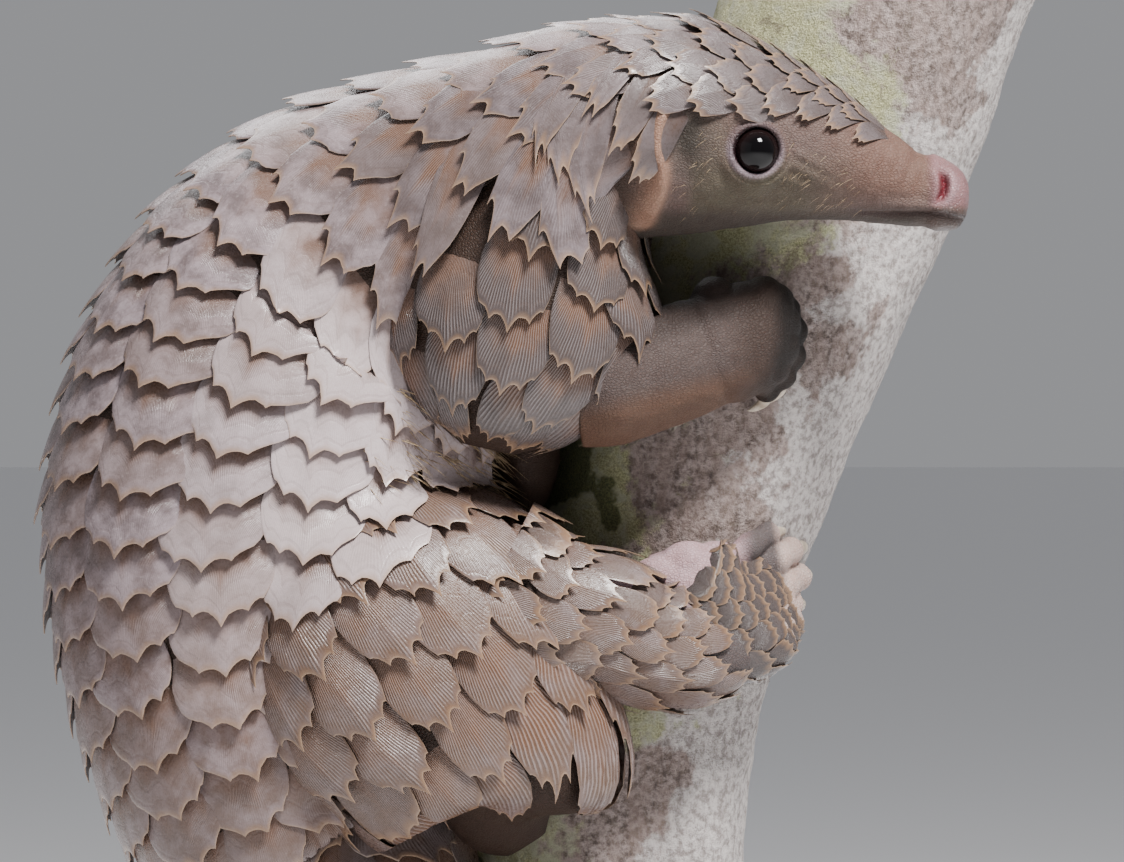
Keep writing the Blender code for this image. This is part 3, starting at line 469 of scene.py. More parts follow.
# A plate: its length in periods; rows of points from tip to root, and those of its underside;
# width of the root as a share; depth of the root; thickness at the rim and inside
PLATE_LENGTH = 1.7
PLATE_ROWS = [0.0, 0.02, 0.06, 0.13, 0.23, 0.35, 0.49, 0.66, 0.83, 1.0]
UNDER_ROWS = [0, 3, 6, 9]
ROOT_WIDTH = 0.9
ROOT_DEPTH = 0.7
PLATE_THICKNESS = (0.2, 0.8)
BAKE_SCALE = 0.0013  # bake map for one column spacing
PIECE_LIMIT = 190000  # triangles
SHARP_EDGE = math.radians(50)


def outline(flank):
    """Outline of each plate from one side to the other; flank above 0 tucks its side of
    larger u under the next plate, below 0 the other side."""
    even, steep, tucked = np.array(EVEN_SIDE), np.array(STEEP_SIDE), np.array(TUCKED_SIDE)
    share = flank[:, None, None]
    high = even + np.clip(share, 0, 1) * (tucked - even) + np.clip(-share, 0, 1) * (steep - even)
    low = even + np.clip(-share, 0, 1) * (tucked - even) + np.clip(share, 0, 1) * (steep - even)
    low = low[:, :0:-1] * (-1, 1)
    whole = np.concatenate([low, high], axis=1)
    return whole[..., 0], whole[..., 1]


def plate_faces():
    """Quads and side polygons of one plate: a fine top, a coarser underside and the rim."""
    columns, rows, under = 2 * len(EVEN_SIDE) - 1, len(PLATE_ROWS), len(UNDER_ROWS)
    top = grid_quads(rows, columns)
    low = grid_quads(under, columns)[:, ::-1] + rows * columns
    k = np.arange(columns - 1)
    start = rows * columns
    front = np.stack([k + 1, k, k + start, k + 1 + start], axis=1)
    a, b = (rows - 1) * columns, start + (under - 1) * columns
    back = np.stack([k + a, k + 1 + a, k + 1 + b, k + b], axis=1)
    sides = []
    for edge, flip in ((0, False), (columns - 1, True)):
        ring = [r * columns + edge for r in range(rows)]
        ring += [start + r * columns + edge for r in reversed(range(under))]
        sides.append(ring[::-1] if flip else ring)
    return np.concatenate([top, low, front, back]), sides


def worn_outline(rng, flank):
    """Outline of each plate with its own wear."""
    count = len(flank)
    x, y = outline(flank)
    wear = rng.uniform(0.6, 1.1, (count, 1))
    y = y - (1 - wear) * 0.16 * bump(x, 0, 0.05) + rng.normal(0, 0.007, y.shape)
    y = y + rng.normal(0, 0.03, (count, 1)) * x
    y = y + rng.normal(0, 0.02, (count, 1)) * np.sin(9 * x + wear * 30)
    return x * rng.uniform(0.97, 1.05, (count, 1)), y


def with_underside(top, low):
    """Rows of the top, and the few rows of the underside."""
    return np.concatenate([top, low[:, UNDER_ROWS]], axis=1)


class Plates:
    """Rows of plates on a surface, gathered into joined meshes."""

    def __init__(self, rng):
        self.rng = rng
        self.groups = []

    def add(self, surface, s, u, spacing, period, lift, size, flank, mood, patch, yaw=0.0, settle=None,
            walk=None):
        """Plates with tips at s, u. `surface` maps s, u and height to points, `spacing` is the
        column spacing in u, `period` the row period in s; `size` is the millimetres of half a
        spacing and of a period; `lift` is the height of the tip; `flank` tucks one side under
        the next plate; `mood` tints a plate; `patch` gives its place on the bake map; `yaw` turns it
        on its tip; `settle` moves the finished points onto what lies below; `walk` gives the s
        reached after a distance, for surfaces that are squeezed in places."""
        count = len(s)
        rng = self.rng
        wide, long = size[0][:, None, None], size[1][:, None, None]
        x, y = worn_outline(rng, flank)
        rows = np.array(PLATE_ROWS)[None, :, None]
        length = PLATE_LENGTH * rng.uniform(0.97, 1.03, (count, 1, 1))
        along = y[:, None, :] * (1 - rows) - length * rows
        across = x[:, None, :] * (1 - (1 - ROOT_WIDTH) * ramp(-along, 0.85, PLATE_LENGTH))
        middle = (x.min(1) + x.max(1))[:, None, None] / 2
        half = ((x.max(1) - x.min(1)) / 2)[:, None, None]
        belly = 1 - ((across - middle) / half) ** 2
        rise = 1 + along / length
        tilt = lift[:, None, None] * rng.uniform(0.85, 1.15, (count, 1, 1))
        keel = mood[:, 2][:, None, None] * (bump(across, 0, 0.03) * 0.018 + bump(across, 0, 0.14) * 0.035)
        depth = ROOT_DEPTH * (0.3 + 0.7 * ramp(long, 5, 13))
        height = (-depth + (tilt + depth) * rise ** 0.85
                  + (belly * 0.045 + keel) * wide * ramp(rise, 0, 0.5)
                  + rng.normal(0, 0.03, (count, 1, 1)) * across * wide)
        edge = (y[:, None, :] - along) * long
        full = ramp(wide, 4, 12)
        rims = bump(across, middle + half, 0.1), bump(across, middle - half, 0.1)
        height = height - (0.22 * np.exp(-edge / 0.5) + 0.25 * rims[0] + 0.25 * rims[1]) * full
        ribs = np.where(np.arange(x.shape[1]) % 2 == 0, 1.0, -1.0)[None, None, :]
        height = height + ribs * 0.03 * ramp(edge, 2, 7) * full
        thin, thick = PLATE_THICKNESS
        drop = (thin + (thick - thin) * ramp(edge, 0, 5)) * ramp(wide, -4, 14)
        height = with_underside(height, height - drop)
        across, along, edge = (with_underside(row, row) for row in (across, along, edge))
        turn = (yaw + rng.normal(0, 0.04, count))[:, None, None]
        turned_across = (across * wide * np.cos(turn) - along * long * np.sin(turn)) / wide
        turned_along = (along * long * np.cos(turn) + across * wide * np.sin(turn)) / long
        if walk is None:
            place_s = s[:, None, None] + turned_along * period[:, None, None]
        else:
            place_s = walk(s, u, turned_along * long)
        place_u = u[:, None, None] + turned_across * spacing[:, None, None]
        points = surface(place_s, place_u, height)
        if settle is not None:
            points = settle(points, height)
        tone = rng.uniform(0, 1, (count, 1, 1)) * np.ones(edge.shape)
        fan = across * wide / (long * (2.3 + along))
        info = np.stack([fan, edge, -along * long, tone], axis=-1)
        moods = np.broadcast_to(mood[:, None, None, :], info.shape)
        corner = np.array(patch(s, u)).T[:, None, None, :]
        bake = corner + np.stack([across, along + 0.8], axis=-1) * BAKE_SCALE
        layers = (points, info, moods, bake)
        self.groups.append([layer.reshape(count, -1, layer.shape[-1]) for layer in layers])

    def build(self, name):
        """Joined meshes of all plates so far, each below the limit of triangles."""
        quads, sides = plate_faces()
        triangles = 2 * len(quads) + sum(len(side) - 2 for side in sides)
        joined = [np.concatenate([g[i] for g in self.groups]) for i in range(4)]
        self.groups = []
        count = len(joined[0])
        pieces = math.ceil(count * triangles / PIECE_LIMIT)
        objects = []
        for i, chosen in enumerate(np.array_split(np.arange(count), pieces)):
            points, info, moods, bake = (layer[chosen] for layer in joined)
            size = points.shape[1]
            starts = np.arange(len(chosen)) * size
            faces = (quads[None] + starts[:, None, None]).reshape(-1, 4)
            rings = [np.array(side) + start for start in starts for side in sides]
            label = f"{name}_{i + 1}" if pieces > 1 else name
            obj = make_object(label, points.reshape(-1, 3), faces, rings)
            obj.data.set_sharp_from_angle(angle=SHARP_EDGE)
            set_layer(obj, "plate", info.reshape(-1, 4))
            set_layer(obj, "mood", moods.reshape(-1, 4))
            set_bake_map(obj, bake.reshape(-1, 2))
            objects.append(obj)
        return objects


def quarter_round(tube, s):
    """A quarter of the way round the section at s."""
    _, _, _, a, b = tube.frame(s)
    return math.pi / 4 * (3 * (a + b) - np.sqrt((3 * a + b) * (a + 3 * b)))


def stretch(tube, s, u):
    """Millimetres on the surface for one millimetre of s, at s and u."""
    return np.linalg.norm(tube.surface(s + 1, u) - tube.surface(s - 1, u), axis=-1) / 2


def surface_walk(tube, least=0.28, samples=81):
    """Function of start, u and distance that gives the s reached after so many millimetres
    on the surface at u; squeezed parts count as at least the given stretch."""
    s = np.linspace(0, tube.length, int(tube.length))
    grid_s, grid_u = np.meshgrid(s, np.linspace(-1, 1, samples))
    gone = np.cumsum(np.maximum(stretch(tube, grid_s, grid_u), least) * (s[1] - s[0]), axis=1)

    def walk(start, u, distance):
        reached = np.empty(distance.shape)
        column = (np.clip(u, -1, 1) + 1) / 2 * (samples - 1)
        for i in range(len(distance)):
            low = min(int(column[i]), samples - 2)
            table = gone[low] + (gone[low + 1] - gone[low]) * (column[i] - low)
            reached[i] = np.interp(np.interp(start[i], s, table) + distance[i], table, s)
        return reached

    return walk


def rows_between(start, stop, step):
    """Places of rows from start to stop, where step gives the distance to the next row."""
    rows = [start]
    while rows[-1] < stop:
        rows.append(rows[-1] + float(step(rows[-1])))
    return np.array(rows)


def lattice(rows, columns, spacing, wrap):
    """Row number and u of each plate, every other row shifted by one column."""
    numbers, places = [], []
    for j in range(len(rows)):
        if wrap:
            k = np.arange(columns // 2) * 2 + j % 2
            u = (k * spacing + 1) % 2 - 1
        else:
            k = np.arange(-columns, columns + 1)
            k = k[(k + j) % 2 == 0]
            u = k * spacing
        numbers.append(np.full(len(u), j))
        places.append(u)
    return np.concatenate(numbers), np.concatenate(places)


# Body: columns to each side; s of the first tips, and what every other column adds; s of the
# shoulder, and the even place past which a column ends behind it; s and u that bound the bare
# throat; how deep a plate's root and tip may lie in a limb
BODY_COLUMNS = 10
BODY_START = 34.0
BODY_STAGGER = 3.4
SHOULDER = 120
LAST_PLACE = 1.12
THROAT = (118, 0.76)
DEEPEST = (18.0, 14.0)

# u of columns near the fold of the flank by their even place; by s, the spacing of the columns,
# millimetres between the tips of a column, height of the tips, and u of the bare face's edge
COLUMN_PLACES = [(0.0, 0.0), (0.43, 0.43), (0.65, 0.61), (0.87, 0.74), (1.1, 0.84)]
BODY_SPREAD = [(30.0, 0.108), (85.0, 0.112), (118.0, 0.160), (150.0, 0.150), (200.0, 0.142),
               (500.0, 0.142)]
BODY_PERIODS = [(30.0, 6.6), (60.0, 8.4), (80.0, 10.5), (100.0, 14.5), (118.0, 17.0), (150.0, 17.0),
                (190.0, 14.0), (225.0, 12.0), (500.0, 12.2)]
BODY_LIFTS = [(25.0, 1.2), (60.0, 1.8), (90.0, 2.8), (120.0, 3.6), (500.0, 3.3)]
HEAD_EDGE = [(27.0, 0.25), (33.5, 0.45), (43.5, 0.50), (52.0, 0.48), (56.5, 0.46), (65.5, 0.45),
             (74.5, 0.44), (79.0, 0.53), (81.5, 0.75), (84.5, 0.95)]

# Tail plates, with millimetres of a row and height of the tips at its root and its tip
TAIL_SPACING = 0.25
TAIL_COLUMNS = 8
TAIL_ROW_STEPS = (8.6, 7.0)
TAIL_PLATE_LIFTS = (3.1, 1.5)

# s of the seam between the body's plates and the arm's on top of the arm, and what the rear adds
ARM_SEAM = (32.0, 34.0)

# Plates on each limb: first row from the top of its tube, and bare end of the tube; columns to
# each side; spacing in u; row steps and lifts at the top and the end; brownness, paleness, keel
LIMB_PLATES = [
    {"tube": "upper_arm", "first": 12.0, "end": 1.0, "columns": 5, "spacing": 0.17,
     "steps": (9.0, 6.6), "lifts": (3.0, 3.2), "mood": (0.25, -1.1, 0.9)},
    {"tube": "thigh", "first": 8.0, "end": 17.0, "columns": 5, "spacing": 0.15,
     "steps": (8.8, 7.2), "lifts": (3.2, 4.2), "mood": (1.0, -0.4, 1.0)},
    {"tube": "shank", "first": 4.0, "end": 7.0, "columns": 4, "spacing": 0.17,
     "steps": (5.4, 4.2), "lifts": (2.4, 2.4), "mood": (1.0, -0.45, 1.0)},
    {"tube": "foot", "first": 6.0, "end": 1.0, "columns": 4, "spacing": 0.17,
     "steps": (3.0, 2.1), "lifts": (1.4, 0.9), "mood": (0.4, -1.15, 0.5)},
]


def build_scales(spine, places, tubes):
    """All plates of horn."""
    plates = Plates(np.random.default_rng(SEED))
    add_body_plates(plates, spine, places, tubes)
    pieces = plates.build("scales_body")
    add_tail_plates(plates, spine, places)
    pieces += plates.build("scales_tail")
    limbs = [(limb, side) for side in ("_right", "_left") for limb in LIMB_PLATES]
    for cell, (limb, side) in enumerate(limbs):
        add_limb_plates(plates, tubes[limb["tube"] + side], limb, cell, spine)
    pieces += plates.build("scales_limbs")
    return pieces


def add_body_plates(plates, spine, places, tubes):
    """Plates of head, back and flanks, draped over the upper arms and the thighs."""
    rng = plates.rng
    walk = surface_walk(spine)
    s, v = body_columns(walk, places["root"] + 6)
    s = s + rng.normal(0, 0.4, len(v))
    u, spacing = column_place(v, s), column_place(np.abs(v) + 0.5, s) - column_place(np.abs(v) - 0.5, s)
    drift = (column_place(v, s + 2) - column_place(v, s - 2)) / 4
    u = u + rng.normal(0, 0.045, len(u)) * spacing
    period = lookup(BODY_PERIODS, s)
    tips, roots = spine.surface(s, u), spine.surface(walk(s, u, -0.8 * period), u)
    clear = np.abs(u) < lookup(HEAD_EDGE, s)
    clear &= (s > THROAT[0]) | (np.abs(u) < THROAT[1])
    drapes, lean = [], np.zeros(len(s))
    for name in ("upper_arm", "thigh"):
        for side in ("_right", "_left"):
            tube = tubes[name + side]
            tip_depth, root_depth = depth_in(tube, tips), depth_in(tube, roots)
            over = over_arm(tube, tips) if name == "upper_arm" else np.zeros(len(s), bool)
            clear &= over | ((root_depth < DEEPEST[0]) & (tip_depth < DEEPEST[1]))
            drapes.append((tube, np.where(over, 1.0, ramp(tip_depth - root_depth, 0.0, 2.5))))
            lean += 0.3 * over * ramp(tip_depth, -6, 2)
    s, u, spacing, period, drift, lean = (row[clear] for row in (s, u, spacing, period, drift, lean))

    def settle(points, height):
        for tube, share in drapes:
            share = share[clear][:, None, None, None]
            points = points + (push_out(tube, points, height + 0.6) - points) * share
        return points

    far, outward = np.abs(u), np.sign(u)
    collar = ramp(far, 0.36, 0.62) * ramp(s, 60, 72) * (1 - ramp(s, 96, 116))
    spacing, period = spacing * (1 + 0.2 * collar), period * (1 - 0.25 * collar)
    size = (spacing * quarter_round(spine, s), period)
    middle = places["turn"]
    flank = outward * ramp(far, 0.06, 0.3) * ramp(s, 70, 110) * (1 - 1.9 * ramp(s, middle - 30, middle + 60))
    lift = lookup(BODY_LIFTS, s)
    droop = 0.5 * ramp(far, 0.1, 0.35) * (1 - ramp(s, 52, 66))
    droop = droop + 0.3 * ramp(far, 0.15, 0.4) * ramp(s, 110, 130) * (1 - ramp(s, 200, 250))
    yaw = -np.arctan(drift * quarter_round(spine, s)) - outward * (lean + 0.7 * collar + droop)
    mood = body_mood(s, u, places)
    plates.add(spine.surface, s, u, spacing, period, lift, size, flank, mood, spine_patch(spine), yaw, settle,
               walk)


def body_columns(walk, last):
    """s and column of each plate of the body; every other column starts half a period later."""
    places, columns = [], []
    for v in range(-BODY_COLUMNS, BODY_COLUMNS + 1):
        s = BODY_START + (v % 2) * BODY_STAGGER
        while s < last and (s < SHOULDER or abs(v * lookup(BODY_SPREAD, s)) < LAST_PLACE):
            places.append(s)
            columns.append(v)
            place = np.array([column_place(v, s)])
            s = float(walk([s], place, np.array([lookup(BODY_PERIODS, s)]))[0])
    return np.array(places), np.array(columns, float)


def column_place(v, s):
    """u of column v of the body at s: even on head and back, spread over the shoulder, and
    close together near the fold of the flank."""
    even = v * lookup(BODY_SPREAD, s)
    folded = np.sign(even) * lookup(COLUMN_PLACES, np.abs(even))
    return even + ramp(s, SHOULDER, 175) * (folded - even)


def over_arm(tube, points):
    """True where plates of the body lie over the arm: its top, and further down its rear."""
    s, x, gap, past = tube_place(tube, points)
    rear = -x if tube.ups[0][1] < 0 else x
    return (past < 4) & (gap < 2) & (s < ARM_SEAM[0] + ARM_SEAM[1] * ramp(rear, -0.1, 0.8))


def spine_patch(spine):
    """Place on the bake map of plates at s, u."""
    return lambda s, u: (0.02 + 0.94 * s / spine.length, 0.02 + 0.46 * (u + 1) / 2)


def add_tail_plates(plates, spine, places):
    """Plates all round the tail."""
    rng = plates.rng
    first, last = places["root"] + 10, spine.length - 1
    rows = rows_between(first, last, lambda s: np.interp(s, (first, last), TAIL_ROW_STEPS))
    number, u = lattice(rows, TAIL_COLUMNS, TAIL_SPACING, True)
    s = np.minimum(rows[number] + rng.normal(0, 0.3, len(u)), last)
    u = u + rng.normal(0, 0.006, len(u))
    period = 2 * np.interp(s, (first, last), TAIL_ROW_STEPS)
    spacing = np.full(len(s), TAIL_SPACING)
    size = (spacing * quarter_round(spine, s), period * stretch(spine, s, u))
    lift = np.interp(s, (first, last), TAIL_PLATE_LIFTS)
    mood = mood_rows(rng, len(s), 0.5, -0.75, 0.5)
    plates.add(spine.surface, s, u, spacing, period, lift, size, np.zeros(len(s)), mood, spine_patch(spine))


def add_limb_plates(plates, tube, limb, cell, spine):
    """Plates of one limb where it isn't under the body, with the cell of their bake map."""
    rng = plates.rng
    start, stop = limb["first"], tube.length
    rows = rows_between(start, stop - limb["end"], lambda s: np.interp(s, (start, stop), limb["steps"]))
    number, u = lattice(rows, limb["columns"], limb["spacing"], False)
    s = np.clip(rows[number] + rng.normal(0, 0.3, len(u)), 0, tube.length)
    u = u + rng.normal(0, 0.006, len(u))
    if limb["tube"] == "foot":
        bare = (s < 20) & (u * tube.frame(np.array(20.0))[2][2] > 0.1)
        s, u = s[~bare], u[~bare]
    else:
        shown = depth_in(spine, tube.surface(s, u), samples=300) < 2.0
        if limb["tube"] == "upper_arm":
            shown &= ~over_arm(tube, tube.surface(s - 6.0, u))
        s, u = s[shown], u[shown]
    count = len(s)
    period = 2 * np.interp(s, (start, stop), limb["steps"])
    spacing = np.full(count, limb["spacing"])
    size = (spacing * quarter_round(tube, s), period * stretch(tube, s, u))
    lift = np.interp(s, (start, stop), limb["lifts"])
    mood = mood_rows(rng, count, *limb["mood"])
    corner = (0.02 + 0.24 * (cell % 4), 0.52 + 0.24 * (cell // 4))

    def patch(s, u):
        return corner[0] + 0.2 * s / tube.length, corner[1] + 0.1 * (u + 1)

    plates.add(tube.surface, s, u, spacing, period, lift, size, np.zeros(count), mood, patch)


def tube_place(tube, points):
    """s of points on a tube, their place across it from -1 to 1, gap to it and way past its ends."""
    gap, radial, past = section_gap(tube, points)
    s = nearest_section(tube, points)
    right = tube.frame(s)[2]
    return s, (unit(radial + 1e-6) * right).sum(-1), gap, past


def nearest_section(tube, points, samples=60):
    """s of the section whose plane holds each point, where the tube passes nearest."""
    at = np.linspace(0, tube.length, samples)
    centre, up, right, a, b = tube.frame(at)
    way = np.cross(right, up)
    best, chosen = np.full(points.shape[:-1], 1e9), np.zeros(points.shape[:-1])
    for j in range(samples):
        d = points - centre[j]
        lengthwise = d @ way[j]
        outside = np.maximum(np.hypot((d @ right[j]) / a[j], (d @ up[j]) / b[j]) - 1, -0.5) * min(a[j], b[j])
        far = lengthwise ** 2 + np.where(outside > 0, outside, 0) ** 2 + 0.001 * outside
        better = far < best
        best = np.where(better, far, best)
        chosen = np.where(better, at[j] + np.clip(lengthwise, -tube.length / samples, tube.length / samples),
                          chosen)
    return np.clip(chosen, 0, tube.length)


def section_gap(tube, points, samples=60):
    """Distance outside a tube, way from its middle, and how far the points lie past its ends."""
    s = nearest_section(tube, points, samples)
    centre, up, right, a, b = tube.frame(s)
    d = points - centre
    x, y = (d * right).sum(-1), (d * up).sum(-1)
    q = np.maximum(np.hypot(x / a, y / b), 1e-4)
    radius = np.hypot(x, y) / q
    past = np.abs((d * np.cross(right, up)).sum(-1))
    return (q - 1) * radius, right * x[..., None] + up * y[..., None], past


def push_out(tube, points, height):
    """Points moved out of the tube to the height above it, softly."""
    gap, radial, past = section_gap(tube, points)
    target = 0.5 * (gap + height + np.sqrt((gap - height) ** 2 + 6.0))
    share = (1 - ramp(past, 1, 4)) * (1 - ramp(gap, 4, 9))
    move = np.maximum(target - gap, 0) * share
    return points + unit(radial + 1e-6) * move[..., None]


def depth_in(tube, points, samples=60):
    """How deep the points lie inside a tube, in millimetres; negative outside."""
    gap, _, past = section_gap(tube, points, samples)
    return np.where(past < 4, -gap, -50.0)


def mood_rows(rng, count, brown, pale, keel):
    """Brownness, paleness, keel and a random number for each plate."""
    return np.stack(np.broadcast_arrays(brown, pale, keel, rng.uniform(0, 1, count)), axis=1)


def body_mood(s, u, places):
    """Moods of the body's plates: a dark nape, a paler flank and a browner rump."""
    brown = 0.55 * ramp(s, places["turn"] - 10, places["root"] - 30)
    far = np.abs(u)
    pale = ramp(far, 0.26, 0.6) * ramp(s, 150, 200) * (1 - ramp(s, places["turn"] + 10, places["root"]))
    pale = pale - 0.6 * ramp(s, 88, 104) * (1 - ramp(s, 150, 185)) * ramp(far, 0.12, 0.3)
    pale = pale - 0.8 * (1 - ramp(s, 80, 104)) - 0.35 * ramp(s, places["turn"] + 10, places["root"])
    keel = 0.15 + 0.6 * (1 - ramp(s, 80, 140))
    return mood_rows(np.random.default_rng(SEED + 1), len(s), brown, pale, keel)


# Skin

def head_grid(spine, places):
    """Places of the skin's grid lines, closest round the eyes and the nose."""
    centre = eye_place(spine)

    def steps_s(s):
        fine = 0.34 + 0.24 * (1 - bump(s, centre[0], 9)) * ramp(s, 4, 16)
        return fine + 2.0 * ramp(s, places["nape"] + 6, places["nape"] + 30)

    s = [0.0]
    while s[-1] < spine.length:
        s.append(s[-1] + float(steps_s(s[-1])))
    density = np.linspace(0, 1, 2001)
    weight = 1 + 1.6 * bump(density, centre[1], 0.11)
    total = np.concatenate([[0], np.cumsum((weight[1:] + weight[:-1]) / 2)])
    half = np.interp(np.linspace(0, total[-1], 111), total, density)
    u = np.concatenate([-half[:0:-1], half[:-1]])
    return np.array(s[:-1] + [spine.length]), u


def eye_place(spine):
    """s and u of the right eye."""
    s, u = np.meshgrid(np.linspace(20, 80, 121), np.linspace(0.2, 0.8, 121), indexing="ij")
    distance = np.linalg.norm(spine.surface(s, u) - np.array(EYE), axis=-1)
    i = np.unravel_index(distance.argmin(), distance.shape)
    return s[i], u[i]


def other_side(point):
    """The same point on the left side of the head."""
    return np.array([point[0], 2 * HEAD_Y - point[1], point[2]])


def line_distance(x, z, line):
    """Distance in the side view to a line, the share along it, and the way ahead of it in x."""
    knots = np.linspace(0, 1, len(line))
    fine = smooth(knots, np.array(line), np.linspace(0, 1, 60))
    d = np.stack([(x - p[0]) ** 2 + (z - p[1]) ** 2 for p in fine])
    nearest = d.argmin(0)
    return np.sqrt(d.min(0)), nearest / 59, x - fine[nearest, 0]


def face_relief(points):
    """How far the skin of the head stands out of the plain tube."""
    x, y, z = points[..., 0], points[..., 1], points[..., 2]
    side = np.abs(y - HEAD_Y)
    flank = ramp(side, 3, 5)
    front = ramp(x, MOUTH_BACK - 12, MOUTH_BACK + 3)
    level = mouth_level(x)
    groove = -0.9 * bump(z, level, 0.5) * front * ramp(side, 1, 3)
    lips = (0.45 * bump(z, level + 1.6, 1.0) + 0.3 * bump(z, level - 1.4, 0.8)) * front
    hole, wing, behind = nostril_shape(x, z)
    pad = 0.9 * ramp(x, 80.0, 83.5) - 0.7 * bump(x, 79.0, 2.2) * ramp(z, 49, 52)
    brow = 0.8 * bump(x, 41, 8) * bump(z, 71.5, 2.6)
    pouch = 0.5 * bump(x, 43, 7) * bump(z, 53.6, 1.6) - 0.35 * bump(x, 43, 7) * bump(z, 51.6, 0.9)
    cheek = 1.1 * np.exp(-((x - 37) / 9) ** 2 - ((z - 51) / 4) ** 2)
    distance, share, ahead = line_distance(x, z, EAR_LINE)
    length = ramp(share, 0.0, 0.15) * (1 - ramp(share, 0.9, 1.0))
    wide = 1.9 + 2.4 * ramp(share, 0.55, 1.0)
    fold = 2.2 * np.exp(-np.where(ahead > 0, distance / 1.1, distance / wide) ** 2) * length
    hollow = -1.2 * np.exp(-((x - 25.8) / 2.4) ** 2 - ((z - 62.5) / 6.5) ** 2)
    folds = (0.22 * np.sin((x * 0.9 + z * 1.7) * 1.1) * bump(x, 50, 7) * bump(z, 57, 5)
             + 0.2 * np.sin(x * 1.9 - z * 0.7) * bump(x, 72, 9) * bump(z, 58, 5))
    fine = 0.14 * noise(points, 2.6, 3) + 0.08 * noise(points, 1.2, 4)
    return (groove + lips - 2.1 * hole * flank + (0.7 * wing + 0.4 * behind) * flank + pad + brow + pouch
            + cheek + (fold + hollow) * ramp(side, 8, 12) + folds + fine) * ramp(x, 10, 20)


def mouth_level(x):
    """z of the mouth line."""
    return 48.0 + 0.004 * (x - 74) ** 2 * (x < 74) - 0.9 * ramp(x, 82, 90)


def nostril_shape(x, z):
    """Weights of the nostril's slit, the rim ahead of it and the fold behind it."""
    nx, nz = x - NOSTRIL[0], z - NOSTRIL[2]
    bend = nx - 0.12 * nz + 0.09 * nz ** 2
    hole = np.exp(-(bend / 0.95) ** 2 - (nz / 3.1) ** 4)
    wing = np.exp(-((bend - 2.0) / 1.1) ** 2 - (nz / 3.6) ** 4)
    behind = np.exp(-((bend + 1.8) / 0.9) ** 2 - (nz / 3.6) ** 4)
    return hole, wing, behind


def add_lids(points):
    """Draw the skin round the eyes into lids."""
    profile = np.array(LID_PROFILE)
    for eye, mirror in ((np.array(EYE), 1), (other_side(EYE), -1)):
        way = unit(np.array(EYE_WAY) * (1, mirror, 1))
        d = points - eye
        high = d @ way
        flat = d - high[..., None] * way
        r = np.linalg.norm(flat, axis=-1)
        near = (r < LID_BLEND[1]) & (high > -6)
        radial = flat / np.maximum(r, 1e-6)[..., None]
        angle = np.arctan2(flat[..., 2], flat[..., 0])
        crease = 0.10 * np.sin(26 * angle + 9 * np.sin(3 * angle)) * bump(r, 6.6, 0.8)
        crease = crease + 0.12 * np.sin(5.2 * r) * ramp(r, 6.0, 6.6) * (1 - ramp(r, 8.6, 9.6))
        new_r = np.interp(r, profile[:, 0], profile[:, 1])
        new_high = np.interp(r, profile[:, 0], profile[:, 2]) + crease
        drawn = eye + radial * new_r[..., None] + way * new_high[..., None]
        share = (near * (1 - ramp(r, *LID_BLEND)))[..., None]
        points = points * (1 - share) + drawn * share
    return points


def spine_skin(spine, places):
    """Skin of head, body and tail as one grid, with its bake map."""
    s, u = head_grid(spine, places)
    grid_s, grid_u = np.meshgrid(s, u, indexing="ij")
    flat = spine.surface(grid_s, grid_u)
    head = grid_s < places["nape"] + 20
    relief = np.where(head, face_relief(flat), 0)
    points = spine.surface(grid_s, grid_u, relief)
    points = np.where(head[..., None], add_lids(points), points)
    points[0] = points[0].mean(0)
    uv = np.stack([0.02 + 0.95 * grid_s / spine.length, 0.02 + 0.23 * (grid_u + 1)], axis=-1)
    quads = grid_quads(len(s), len(u), wrap=True)
    return points.reshape(-1, 3), quads, [], uv.reshape(-1, 2)


def tube_mesh(tube, step=1.2, sides=40):
    """Closed mesh along a tube."""
    s = np.linspace(0, tube.length, max(int(tube.length / step), 4))
    u = np.arange(sides) * 2 / sides - 1
    grid_s, grid_u = np.meshgrid(s, u, indexing="ij")
    return close_ends(tube.surface(grid_s, grid_u))


def strand_mesh(points, radii, sides=20, per=7):
    """Closed mesh along a curve that runs more or less level."""
    knots = np.arange(len(points))
    at = np.linspace(0, len(points) - 1, (len(points) - 1) * per + 1)
    centres = smooth(knots, np.array(points, float), at)
    sizes = smooth(knots, np.array(radii, float), at)
    way = unit(np.gradient(centres, axis=0))
    right = unit(np.cross(way, (0.05, 0.1, 1.0)))
    up = np.cross(right, way)
    turns = np.linspace(0, 2 * math.pi, sides, endpoint=False)
    rings = (centres[:, None] + right[:, None] * (np.cos(turns)[None, :, None] * sizes[:, None, None])
             + up[:, None] * (np.sin(turns)[None, :, None] * sizes[:, None, None]))
    return close_ends(rings)


def ball_mesh(centre, radii, rows=14, sides=24):
    """Closed mesh of an oval ball."""
    tilt = np.linspace(0.05, math.pi - 0.05, rows)[:, None]
    turn = np.linspace(0, 2 * math.pi, sides, endpoint=False)[None]
    shape = np.stack([np.sin(tilt) * np.cos(turn), np.sin(tilt) * np.sin(turn),
                      np.cos(tilt) * np.ones_like(turn)], axis=-1)
    return close_ends(np.array(centre) + shape * np.array(radii))


def close_ends(rings):
    """Points, quads and end triangles of rings joined to a closed skin."""
    count, sides = rings.shape[:2]
    points = rings.reshape(-1, 3)
    n = len(points)
    points = np.concatenate([points, points[:sides].mean(0)[None], points[-sides:].mean(0)[None]])
    k = np.arange(sides)
    first = np.stack([k, np.full(sides, n), (k + 1) % sides], axis=1)
    last = np.stack([n - sides + k, n - sides + (k + 1) % sides, np.full(sides, n + 1)], axis=1)
    return points, grid_quads(count, sides, wrap=True)[:, ::-1], list(first[:, ::-1]) + list(last[:, ::-1])


